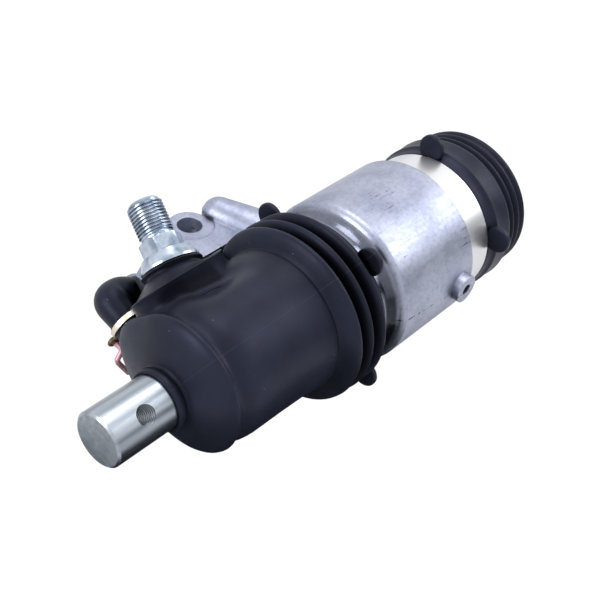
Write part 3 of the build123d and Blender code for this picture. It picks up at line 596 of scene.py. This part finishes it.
# The boot's lip on the rod, swollen front face, round body and the crease that ends it, as (x, radius)
BODY = (
    (13.55, 12.05), (13.55, 13.7), (13.9, 14.1), (17.0, 14.1), (17.5, 13.7), (18.0, 13.4), (19.0, 13.4),
    (19.4, 14.6), (20.4, 17.2), (22.4, 22.6), (24.2, 26.8), (25.4, 29.0), (26.5, 30.6), (27.6, 31.6),
    (28.5, 31.95), (29.3, 31.7), (30.1, 30.9), (31.2, 30.2), (32.4, 30.0), (34.0, 30.4), (36.0, 31.3),
    (38.0, 32.0), (40.5, 32.4), (43.0, 32.6), (46.0, 32.6), (49.0, 32.65), (52.0, 32.65), (56.0, 32.7),
    (60.0, 32.7), (64.0, 32.8), (68.0, 32.9), (72.0, 33.0), (76.0, 33.1), (79.0, 33.4), (83.0, 33.8),
    (86.3, 34.35), (87.0, 34.35), (87.4, 34.1),
)


def body_radius(x, angle):
    """The outside radius of the front boot's round body, in millimetres."""
    for (x0, r0), (x1, r1) in zip(BODY[5:], BODY[6:]):
        if x0 <= x <= x1:
            return r0 + (r1 - r0) * (x - x0) / (x1 - x0) + lobe(x, angle) - hollow(x, angle)
    return BODY[-1][1]


def ear(bm, x0, x1, angle, radius, ring_radius, foot):
    """One rounded pull ear with a softened edge, out of a boot rim."""
    made = bmesh.ops.create_circle(bm, cap_ends=True, segments=28, radius=radius * MM)
    verts = made["verts"]
    for vert in verts:
        if vert.co.y < 0:
            vert.co.x *= 1 + 0.45 * (vert.co.y / (radius * MM)) ** 2
            vert.co.y *= foot / radius
    faces = list({face for vert in verts for face in vert.link_faces})
    grown = bmesh.ops.extrude_face_region(bm, geom=faces)
    top = [item for item in grown["geom"] if isinstance(item, bmesh.types.BMVert)]
    bmesh.ops.translate(bm, verts=top, vec=(0, 0, (x1 - x0) * MM))
    piece = verts + top
    rims = [edge for edge in bm.edges if edge.verts[0] in piece and edge.verts[1] in piece]
    rims = [edge for edge in rims if abs(edge.verts[0].co.z - edge.verts[1].co.z) < 1e-7]
    outward = around(0, angle, 1.0)
    bevelled = bmesh.ops.bevel(
        bm, geom=rims, offset=0.8 * MM, affect="EDGES", segments=3, profile=0.5, material=-1,
    )
    piece = [vert for vert in set(piece) | set(bevelled["verts"]) if vert.is_valid]
    matrix = placed(outward * ring_radius + ALONG * x0, ALONG.cross(outward), outward, ALONG)
    bmesh.ops.transform(bm, matrix=matrix, verts=piece)


def circle(bm, radius, segments=96):
    """A circle about the origin in millimetres, as its vertices and its edges."""
    made = bmesh.ops.create_circle(bm, cap_ends=False, segments=segments, radius=radius * MM)
    return made["verts"], list({edge for vert in made["verts"] for edge in vert.link_edges})


def slot_loop(bm, half_width, straight, height):
    """A closed rounded-slot loop of edges lying across the turret direction."""
    verts, edges = circle(bm, half_width)
    for vert in verts:
        if vert.co.x > 1e-6:
            vert.co.x += straight * MM
        elif vert.co.x < -1e-6:
            vert.co.x -= straight * MM
    matrix = placed(ALONG * TURRET_X + TURRET_UP * height, ALONG, TURRET_SIDE, TURRET_UP)
    bmesh.ops.transform(bm, matrix=matrix, verts=verts)
    return edges


def turret_point(c, s, offset):
    """Where the turret's side stands along the boot and across it, in millimetres."""
    half = sizes().turret_half_width
    straight = sizes().turret_half_length - half
    return TURRET_X + math.copysign(straight, c) + (half + offset) * c, (half + offset) * s


def surface_height(x, across):
    """Height of the round body's surface along the turret direction, in millimetres."""
    height = 28.0
    for _ in range(4):
        at = TURRET_UP * height + TURRET_SIDE * across
        radius = body_radius(x, math.degrees(math.atan2(-at.y, at.z)))
        height = math.sqrt(max(radius * radius - across * across, 1.0))
    return height


def rim_height(c, s):
    """Height of the turret's rim, which rises toward the ridges and away from the nozzle, in millimetres."""
    return sizes().turret_height + 0.75 * c + 0.8 * s + 0.5 * (c * c - s * s)


def turret_loop(bm, height_at):
    """A loop round the turret; height_at gives each place's offset and height from its direction."""
    verts, edges = circle(bm, 1 / MM)
    for vert in verts:
        c, s = vert.co.x, vert.co.y
        offset, height = height_at(c, s)
        x, across = turret_point(c, s, offset)
        vert.co = (ALONG * x + TURRET_SIDE * across + TURRET_UP * height) * MM
    return edges


def fillet_at(share):
    """Offset and height of the fillet between the round body and the turret, from its foot to its top."""
    def place(c, s):
        x, across = turret_point(c, s, 0.0)
        room = rim_height(c, s) - 1.2 - surface_height(x, across)
        radius = min(FILLET_RADIUS, max(room, 0.6))
        inside = max(share, 0.0)
        offset = radius * (1 - math.sqrt(1 - (1 - inside) ** 2)) - 4.0 * min(share, 0.0)
        offset -= sizes().turret_undercut * s * s
        x, across = turret_point(c, s, offset)
        return offset, surface_height(x, across) + radius * inside + 2.2 * min(share, 0.0)
    return place


def skirt_at(c, s):
    """Offset and height of the turret's foot, tucked under the round body."""
    offset, height = fillet_at(-0.4)(c, s)
    return offset, height - 1.1


def rim_at(offset, rise):
    """Offset and height near the turret's rim."""
    return lambda c, s: (offset, rim_height(c, s) + rise)


def lever_loop(bm, radius, reach):
    """A closed circular loop of edges round the input lever, at a reach from its pivot."""
    verts, edges = circle(bm, radius)
    matrix = placed(PIVOT + LEVER_UP * reach, LEVER_ACROSS, TURRET_SIDE, LEVER_UP)
    bmesh.ops.transform(bm, matrix=matrix, verts=verts)
    return edges


def bridge_all(bm, loops, close=False):
    """Bridge each loop of edges to the next."""
    for low, high in zip(loops, loops[1:]):
        bmesh.ops.bridge_loops(bm, edges=low + high)
    if close:
        bmesh.ops.bridge_loops(bm, edges=loops[-1] + loops[0])


def cap_all(bm, loops):
    """Bridge each loop of edges to the next and close both ends."""
    bridge_all(bm, loops)
    for end in (loops[0], loops[-1]):
        bmesh.ops.contextual_create(bm, geom=end)


def path_tube(bm, points, radii, segments=40):
    """A closed tube in millimetres along a list of points, with a radius at each."""
    loops = []
    for index, (point, radius) in enumerate(zip(points, radii)):
        before = points[max(index - 1, 0)]
        after = points[min(index + 1, len(points) - 1)]
        run = (after - before).normalized()
        verts, edges = circle(bm, radius, segments)
        first = run.cross(TURRET_SIDE).normalized()
        bmesh.ops.transform(bm, matrix=placed(point, first, run.cross(first), run), verts=verts)
        loops.append(edges)
    cap_all(bm, loops)


class BOOSTER_OT_stage(bpy.types.Operator):
    """Set the camera, the soft lights, the white world, the pale floor and the dark cards"""

    bl_idname = "booster.stage"
    bl_label = "Stage"

    def execute(self, context):
        scene = context.scene
        scene.view_settings.view_transform = "Standard"
        camera_data = bpy.data.cameras.new("camera")
        camera_data.lens = sizes().camera_lens
        camera_data.sensor_fit = "HORIZONTAL"
        camera_data.sensor_width = 36.0
        camera_data.clip_start = 0.01
        camera = bpy.data.objects.new("camera", camera_data)
        scene.collection.objects.link(camera)
        right = Vector((0.6517, -0.7491, 0.1193))
        back = right.cross(Vector((0.4291, 0.4938, 0.7563))).normalized()
        up = back.cross(right).normalized()
        camera.matrix_world = placed(Vector((-213.2, -221.8, 327.3)), right.normalized(), up, back)
        scene.camera = camera
        self.light(scene, "key", (0.84, -0.40, 0.62), 0.55, 3.0)
        self.light(scene, "top", (0.30, 0.20, 0.95), 0.55, 3.0)
        self.light(scene, "side", (-0.85, 0.30, 0.55), 0.5, 4.2)
        self.world(scene)
        self.floor()
        self.card("dark_card", (0.64, -0.62, 0.13), (0.12, 0.0, 0.0), (0.34, 0.10))
        # A dark sheet on the floor under the part, a painted shadow that only the reflections show
        self.card("floor_shadow_sheet", (0.055, -0.03, SHADOW_SHEET_Z), (0.055, -0.03, 0.0), (0.11, 0.09))
        return {"FINISHED"}

    def light(self, scene, name, place, size, power):
        data = bpy.data.lights.new(name, "AREA")
        data.shape = "SQUARE"
        data.size = size
        data.energy = power
        lamp = bpy.data.objects.new(name, data)
        scene.collection.objects.link(lamp)
        lamp.matrix_world = aimed(place, (0.10, 0.0, 0.0), "-Z")

    def card(self, name, place, facing, half):
        """A dark card that only the reflections show, used as a studio flag and as a painted shadow under
        the part.
        """
        bm = bmesh.new()
        bmesh.ops.create_grid(bm, x_segments=1, y_segments=1, size=1.0)
        bmesh.ops.scale(bm, verts=bm.verts, vec=(half[0], half[1], 1.0))
        bmesh.ops.transform(bm, matrix=aimed(place, facing, "Z"), verts=bm.verts)
        card = new_object(bm, name, material_for(dark_felt))
        card.visible_camera = False
        card.visible_shadow = False
        card.visible_diffuse = False

    def world(self, scene):
        world = bpy.data.worlds.new("white_studio")
        scene.world = world
        world.use_nodes = True
        tree = world.node_tree
        tree.nodes.clear()
        path = add(tree, "ShaderNodeLightPath")
        seen = maths(tree, "MAXIMUM", path.outputs["Is Camera Ray"], path.outputs["Is Glossy Ray"])
        soft = add(tree, "ShaderNodeBackground", inputs={"Color": shade(1.0), "Strength": 0.38})
        white = add(tree, "ShaderNodeBackground", inputs={"Color": shade(1.0), "Strength": 1.0})
        mixed = add(tree, "ShaderNodeMixShader", inputs={
            0: seen, 1: soft.outputs[0], 2: white.outputs[0],
        })
        add(tree, "ShaderNodeOutputWorld", inputs={"Surface": mixed.outputs[0]})

    def floor(self):
        bm = bmesh.new()
        bmesh.ops.create_grid(bm, x_segments=1, y_segments=1, size=6.0)
        bmesh.ops.translate(bm, verts=bm.verts, vec=(0, 0, FLOOR_Z))
        # Matt white paint, lifted for the camera so that the floor reads as the photo's plain white
        material = bpy.data.materials.new("white_floor_paint")
        material.use_nodes = True
        tree = material.node_tree
        tree.nodes.clear()
        path = add(tree, "ShaderNodeLightPath")
        paint = add(tree, "ShaderNodeBsdfDiffuse", inputs={"Color": linear(colours().floor)})
        glow = add(tree, "ShaderNodeEmission", inputs={"Color": linear(colours().floor), "Strength": 1.05})
        lifted = add(tree, "ShaderNodeMixShader", inputs={0: 0.95, 1: paint.outputs[0], 2: glow.outputs[0]})
        mixed = add(tree, "ShaderNodeMixShader", inputs={
            0: path.outputs["Is Camera Ray"], 1: paint.outputs[0], 2: lifted.outputs[0],
        })
        add(tree, "ShaderNodeOutputMaterial", inputs={"Surface": mixed.outputs[0]})
        floor = new_object(bm, "floor", material)


class BOOSTER_OT_metal_finishes(bpy.types.Operator):
    """Give the CAD's metal, seal and bearing nodes their finishes"""

    bl_idname = "booster.metal_finishes"
    bl_label = "Metal finishes"

    def execute(self, context):
        finish_nodes(material_for(die_cast_aluminium), ["housing"])
        finish_nodes(material_for(machined_aluminium), ["rear_cover", "piston", "gallery_plug"])
        finish_nodes(material_for(ground_steel), [
            "shift_rod", "rod_plug", "lever_pivot_pin", "valve_spool", "piston_snap_rings", "seal_retainers",
        ])
        finish_nodes(material_for(bright_zinc), ["input_lever"])
        finish_nodes(material_for(seal_rubber), [
            "spool_orings", "piston_seals", "rod_pressure_seals", "rod_wiper_seals", "cover_oring",
        ])
        finish_nodes(material_for(sintered_bronze), ["guide_bushes"])
        finish_nodes(material_for(bearing_plastic), ["piston_wear_ring"])
        return {"FINISHED"}


class BOOSTER_OT_front_boot(bpy.types.Operator):
    """Build the front boot's lip, swollen front, round body, ridges, rim and pull ears"""

    bl_idname = "booster.front_boot"
    bl_label = "Front boot"

    def execute(self, context):
        size = sizes()
        valley = size.ridge_valley
        top = size.ridge_radius
        wall = size.rubber_wall
        outline = list(BODY) + [
            (87.8, 34.6), (88.8, 36.8), (90.0, 39.4), (91.1, 41.2), (92.0, top - 0.2), (92.9, top),
            (93.8, top - 0.5), (94.9, 39.4), (95.9, 36.7), (96.8, valley + 0.2),
        ]
        outline += ridge(100.6, top + 0.2, valley, 3.7)
        outline += ridge(109.0, top + 0.1, valley + 0.8, 3.9)[:-1]
        outline += [
            (112.9, 37.8), (113.4, 37.4), (115.2, 37.5), (115.6, 37.1), (115.65, 33.7), (110.9, 33.7),
            (110.9, 39.0), (109.0, top - 2.7), (104.9, valley - 1.4), (100.6, top - 2.5),
            (96.8, valley - 1.9), (92.9, top - 2.7), (89.0, valley - 1.8), (86.0, valley - 2.6),
            (60.0, size.body_radius - wall), (38.0, 29.6), (32.4, 27.8), (29.5, 28.6), (27.5, 28.3),
            (25.0, 23.5), (21.8, 15.5), (21.0, 12.05),
        ]
        bm = bmesh.new()
        spin_outline(bm, outline)
        for vert in bm.verts:
            x, y, z = vert.co / MM
            angle = math.degrees(math.atan2(-y, z))
            grown = lobe(x, angle) - hollow(x, angle)
            radius = math.hypot(y, z)
            vert.co.y *= 1 + grown / radius
            vert.co.z *= 1 + grown / radius
        for angle in (-52.0, 35.0, 128.0, 215.0):
            ear(bm, 112.6, 115.3, angle, 6.5, 41.5, 4.6)
        piece = keep(bm, "boot_body", material_for(moulded_rubber))
        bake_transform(piece)
        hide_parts("front_boot")
        return {"FINISHED"}


class BOOSTER_OT_turret(bpy.types.Operator):
    """Build the boot's turret, its fillet, its roof and the lip that grips the lever"""

    bl_idname = "booster.turret"
    bl_label = "Boot turret"

    def execute(self, context):
        size = sizes()
        half = size.turret_half_width
        straight = size.turret_half_length - half
        top = size.turret_height
        bm = bmesh.new()
        shares = (-0.4, -0.12, 0.0, 0.02, 0.06, 0.13, 0.24, 0.4, 0.65, 1.0)
        loops = [turret_loop(bm, skirt_at)] + [turret_loop(bm, fillet_at(share)) for share in shares]
        rim = ((-0.35, -1.0), (0.0, -0.65), (0.0, -0.3), (-0.3, -0.02), (-0.9, 0.05), (-2.6, 0.15))
        loops += [turret_loop(bm, rim_at(offset, rise)) for offset, rise in rim]
        lip = (
            (14.6, 49.3), (13.5, 50.0), (12.9, 50.7), (12.9, 51.5), (13.3, 52.0), (13.9, 52.5), (14.0, 52.9),
            (13.8, 53.3), (13.0, 53.5), (9.7, 53.5), (9.6, 51.2), (11.4, 50.8), (11.2, 47.6),
        )
        loops += [lever_loop(bm, radius, reach) for radius, reach in lip]
        loops += [
            slot_loop(bm, half - 6.2, straight, top - 4.0),
            slot_loop(bm, half - 5.6, straight + 1.0, top - 5.0),
            slot_loop(bm, half - 5.6, straight + 1.0, 25.0),
        ]
        bridge_all(bm, loops, close=True)
        # The turret takes the rubber with painted shade on its long walls
        piece = keep(bm, "boot_turret", material_for(wall_shaded_rubber))
        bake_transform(piece)
        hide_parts("front_boot")
        return {"FINISHED"}


class BOOSTER_OT_rear_boot(bpy.types.Operator):
    """Build the rear boot with its bead, band, ridges, closed end and ears"""

    bl_idname = "booster.rear_boot"
    bl_label = "Rear boot"

    def execute(self, context):
        outline = [
            (198.1, 34.5), (198.1, 36.4), (199.0, 36.6), (201.0, 36.8), (203.0, 37.3), (203.9, 38.0),
            (204.4, 38.3), (205.2, 38.1), (209.0, 38.1), (213.4, 38.4), (214.5, 38.5), (215.4, 38.0),
            (216.2, 36.4), (217.0, 35.6),
        ]
        outline += ridge(220.0, 37.4, 35.4, 2.2)[1:]
        outline += ridge(225.6, 36.9, 34.9, 2.4)
        outline += [
            (229.0, 36.2), (230.2, 36.8), (231.2, 36.5), (231.9, 35.4), (232.15, 33.8), (232.15, 0.0),
            (229.7, 0.0), (229.7, 32.0), (214.5, 34.0), (205.2, 35.7), (201.6, 35.7), (201.6, 34.5),
        ]
        bm = bmesh.new()
        spin_outline(bm, outline)
        for angle in (-10.0, 73.0, 170.0, 253.0):
            ear(bm, 198.3, 201.3, angle, 6.5, 41.0, 5.6)
        piece = keep(bm, "rear_boot_cup", material_for(moulded_rubber))
        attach(piece, "housing")
        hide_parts("rear_boot")
        return {"FINISHED"}


def elbow_points():
    """The elbow's centre line and radius in millimetres, as a smooth curve through its bends."""
    radius = sizes().hose_radius
    corner = NOZZLE_AT + NOZZLE_RUN * 13.6
    bend = SOCKET_AT - SOCKET_RUN * 8.0
    straight = NOZZLE_AT + NOZZLE_RUN * 4.0
    leave = corner + (bend - corner) * 0.75
    points = [(NOZZLE_AT - NOZZLE_RUN * 6.0, 6.3), (NOZZLE_AT + NOZZLE_RUN * 0.6, 6.3)]
    points.append((NOZZLE_AT + NOZZLE_RUN * 1.0, radius - 0.1))
    for step in range(15):
        t = step / 14
        at = straight * (1 - t) ** 2 + corner * 2 * t * (1 - t) + leave * t * t
        points.append((at, radius + 1.0 * math.sin(math.pi * t) ** 2))
    after = bend + SOCKET_RUN * 5.0
    for step in range(1, 7):
        t = step / 6
        points.append((leave * (1 - t) ** 2 + bend * 2 * t * (1 - t) + after * t * t, radius))
    points.append((SOCKET_AT + SOCKET_RUN * 6.0, radius))
    return points


class BOOSTER_OT_elbow(bpy.types.Operator):
    """Build the moulded breather elbow and the boot's nozzle that holds it"""

    bl_idname = "booster.elbow"
    bl_label = "Breather elbow"

    def execute(self, context):
        bm = bmesh.new()
        points, radii = zip(*elbow_points())
        path_tube(bm, points, radii)
        piece = keep(bm, "breather_elbow", material_for(moulded_rubber), sharp=50)
        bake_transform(piece)
        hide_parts("breather_hose")
        self.nozzle()
        return {"FINISHED"}

    def nozzle(self):
        radius = sizes().nozzle_radius
        steps = (
            (-22.0, radius + 3.4), (-17.0, radius + 2.8), (-14.0, radius + 1.8), (-11.5, radius + 0.9),
            (-9.0, radius + 0.3), (-6.0, radius), (-3.0, radius), (0.4, radius), (0.9, radius - 0.1),
            (1.15, radius - 0.4),
        )
        bm = bmesh.new()
        path_tube(bm, [NOZZLE_AT + NOZZLE_RUN * run for run, _ in steps], [r for _, r in steps])
        piece = keep(bm, "boot_nozzle", material_for(moulded_rubber), sharp=50)
        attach(piece, "rod")
        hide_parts("front_boot")


class BOOSTER_OT_stud(bpy.types.Operator):
    """Build the lever stud's coned flange, hexagon and cut thread"""

    bl_idname = "booster.stud"
    bl_label = "Lever stud"

    def execute(self, context):
        bm = bmesh.new()
        self.shank(bm)
        self.thread(bm)
        piece = keep(bm, "threaded_stud", material_for(bright_zinc), sharp=28)
        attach(piece, "lever")
        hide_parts("lever_stud")
        return {"FINISHED"}

    def shank(self, bm):
        steps = (
            (3.9, 42.0), (3.9, 53.75), (13.1, 53.75), (13.35, 54.0), (13.35, 55.0), (13.1, 55.35),
            (11.2, 59.6),
        )
        loops = [lever_loop(bm, radius, reach) for radius, reach in steps]
        for reach in (60.2, 66.2, 66.35, 66.5, 66.65, 66.8, 66.95, 67.1):
            loop = lever_loop(bm, HEXAGON_HALF, reach)
            self.hexagon(loop, 8.4 + (67.1 - reach) * 1.73)
            loops.append(loop)
        loops += [lever_loop(bm, 7.0, reach) for reach in (67.15, 68.6)]
        cap_all(bm, loops)

    def hexagon(self, loop, limit):
        verts = list({vert for edge in loop for vert in edge.verts})
        centre = sum((vert.co for vert in verts), Vector()) / len(verts)
        for vert in verts:
            arm = vert.co - centre
            turn = math.degrees(math.atan2(arm.dot(TURRET_SIDE), arm.dot(LEVER_ACROSS)))
            to_flat = (turn - 15.0 + 30.0) % 60.0 - 30.0
            reach = min(HEXAGON_HALF / math.cos(math.radians(to_flat)), limit)
            vert.co = centre + arm.normalized() * reach * MM

    def thread(self, bm):
        pitch = sizes().thread_pitch
        root, crest, start, end = 7.12, 8.0, 68.2, 84.5
        low = start - pitch
        turns = math.ceil((end - low) / pitch) + 1
        profile = ((root, 0.0), (root, 0.12), (crest, 0.46), (crest, 0.60), (root, 0.94), (root, 1.0))
        at = [PIVOT + LEVER_ACROSS * r + LEVER_UP * (low + share * pitch) for r, share in profile]
        verts = [bm.verts.new(point * MM) for point in at]
        edges = [bm.edges.new(pair) for pair in zip(verts, verts[1:])]
        steps = 60 * turns
        before = set(bm.verts) - set(verts)
        bmesh.ops.spin(
            bm, geom=verts + edges, cent=PIVOT * MM, axis=LEVER_UP, angle=2 * math.pi * turns,
            dvec=LEVER_UP * (pitch * turns / steps) * MM, steps=steps, use_merge=False,
        )

        def cut():
            """The thread's vertices, apart from the shank's."""
            return [vert for vert in bm.verts if vert not in before]

        bmesh.ops.remove_doubles(bm, verts=cut(), dist=2e-6)
        for reach, inner in ((start, True), (end, False)):
            made = cut()
            faces = list({face for vert in made for face in vert.link_faces})
            rims = list({edge for face in faces for edge in face.edges})
            bmesh.ops.bisect_plane(
                bm, geom=made + rims + faces, dist=1e-7, plane_co=(PIVOT + LEVER_UP * reach) * MM,
                plane_no=LEVER_UP, clear_inner=inner, clear_outer=not inner,
            )
        for vert in cut():
            arm = vert.co / MM - PIVOT
            reach = arm.dot(LEVER_UP)
            out = arm - LEVER_UP * reach
            limit = min(crest - (reach - 82.7) * 0.85, 7.05 + (reach - start) * 0.9)
            if out.length > limit:
                vert.co = (PIVOT + LEVER_UP * reach + out.normalized() * limit) * MM
        rims = [edge for edge in bm.edges if edge.is_boundary]
        bmesh.ops.holes_fill(bm, edges=rims, sides=0)


class BOOSTER_OT_spring(bpy.types.Operator):
    """Build the spool's spring of round wire"""

    bl_idname = "booster.spring"
    bl_label = "Spool spring"

    def execute(self, context):
        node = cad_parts["spool_spring"]
        along = [(node.matrix_world @ Vector(corner)).x / MM for corner in node.bound_box]
        front, rear = min(along), max(along)
        wire, mean, turns = 0.58, 4.6, 5
        bm = bmesh.new()
        verts, edges = circle(bm, wire, 12)
        bmesh.ops.translate(bm, verts=verts, vec=Vector((front + wire, mean, 0)) * MM)
        steps = 40 * turns
        run = rear - front - 2 * wire
        bmesh.ops.spin(
            bm, geom=verts + edges, cent=(0, 0, 0), axis=(1, 0, 0), angle=2 * math.pi * turns,
            dvec=(run / steps * MM, 0, 0), steps=steps, use_merge=False,
        )
        bmesh.ops.holes_fill(bm, edges=[edge for edge in bm.edges if edge.is_boundary], sides=0)
        piece = keep(bm, "round_wire_spring", material_for(ground_steel), sharp=50)
        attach(piece, "rod")
        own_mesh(piece)
        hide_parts("spool_spring")
        return {"FINISHED"}


class BOOSTER_OT_clamp(bpy.types.Operator):
    """Build the band clamp's rolled band, its pinched ear and its bent tail"""

    bl_idname = "booster.clamp"
    bl_label = "Band clamp"

    def execute(self, context):
        radius = sizes().nozzle_radius
        middle = NOZZLE_AT - NOZZLE_RUN * 1.1
        out = Vector((-0.44, 0.0, -0.90))
        out = (out - NOZZLE_RUN * out.dot(NOZZLE_RUN)).normalized()
        self.band(middle, out, radius + 0.05, radius + 0.65)
        self.pinch(middle, out, radius)
        self.tail(middle, out, radius)
        return {"FINISHED"}

    def finish(self, bm, name, material):
        piece = keep(bm, name, material, sharp=40)
        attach(piece, "rod")
        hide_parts("hose_clamp")

    def band(self, middle, out, inner, outer):
        half = 1.3
        section = (
            (-half, inner), (-half, outer - 0.2), (-half + 0.2, outer),
            (half - 0.2, outer), (half, outer - 0.2), (half, inner),
        )
        bm = bmesh.new()
        verts = [bm.verts.new((middle + NOZZLE_RUN * run + out * r) * MM) for run, r in section]
        edges = [bm.edges.new(pair) for pair in zip(verts, verts[1:] + verts[:1])]
        bmesh.ops.spin(
            bm, geom=verts + edges, cent=middle * MM, axis=NOZZLE_RUN, angle=2 * math.pi,
            steps=64, use_merge=True,
        )
        self.finish(bm, "clamp_band", material_for(yellow_zinc))

    def pinch(self, middle, out, radius):
        bm = bmesh.new()
        made = bmesh.ops.create_uvsphere(bm, u_segments=32, v_segments=18, radius=MM)
        for vert in made["verts"]:
            vert.co.x *= 3.3
            vert.co.y *= 3.9
            vert.co.z *= 1.7
            vert.co.y *= 1 - 0.22 * swell(vert.co.x / MM + 1.9, 1.6)
        matrix = placed(middle + out * (radius + 2.9), out, NOZZLE_RUN.cross(out), NOZZLE_RUN)
        bmesh.ops.transform(bm, matrix=matrix, verts=made["verts"])
        self.finish(bm, "clamp_ear", material_for(tarnished_zinc))

    def tail(self, middle, out, radius):
        corners = (
            middle + out * (radius + 3.6), Vector((33.3, 40.8, -12.5)), Vector((29.5, 40.5, -16.6)),
            Vector((36.3, 40.0, -27.5)),
        )
        points = [corners[0]]
        for before, corner, after in zip(corners, corners[1:], corners[2:]):
            for share in (0.72, 0.88, 1.0):
                points.append(before.lerp(corner, share).lerp(corner.lerp(after, share - 0.72), 0.5))
            points.append(corner.lerp(after, 0.2))
        points.append(corners[-1])
        bm = bmesh.new()
        path_tube(bm, points, [1.25] * len(points), segments=20)
        self.finish(bm, "clamp_tail", material_for(pink_zinc))


class BOOSTER_PT_panel(bpy.types.Panel):
    """Lists the booster's sizes, colours and pieces"""

    bl_idname = "BOOSTER_PT_panel"
    bl_label = "Booster"
    bl_space_type = "VIEW_3D"
    bl_region_type = "UI"
    bl_category = "Booster"

    def draw(self, context):
        layout = self.layout
        for group in (sizes(), colours()):
            for name in group.__annotations__:
                layout.prop(group, name)
        for operator in OPERATORS:
            layout.operator(operator.bl_idname)


OPERATORS = (
    BOOSTER_OT_stage,
    BOOSTER_OT_metal_finishes,
    BOOSTER_OT_front_boot,
    BOOSTER_OT_turret,
    BOOSTER_OT_rear_boot,
    BOOSTER_OT_elbow,
    BOOSTER_OT_stud,
    BOOSTER_OT_spring,
    BOOSTER_OT_clamp,
)
CLASSES = (BoosterSizes, BoosterColours) + OPERATORS + (BOOSTER_PT_panel,)


def register():
    for cls in CLASSES:
        bpy.utils.register_class(cls)
    bpy.types.Scene.booster_sizes = PointerProperty(type=BoosterSizes)
    bpy.types.Scene.booster_colours = PointerProperty(type=BoosterColours)


def unregister():
    del bpy.types.Scene.booster_colours
    del bpy.types.Scene.booster_sizes
    for cls in reversed(CLASSES):
        bpy.utils.unregister_class(cls)


def main():
    register()
    bpy.ops.booster.stage()
    bpy.ops.booster.metal_finishes()
    bpy.ops.booster.front_boot()
    bpy.ops.booster.turret()
    bpy.ops.booster.rear_boot()
    bpy.ops.booster.elbow()
    bpy.ops.booster.stud()
    bpy.ops.booster.spring()
    bpy.ops.booster.clamp()


if __name__ == "__main__":
    main()
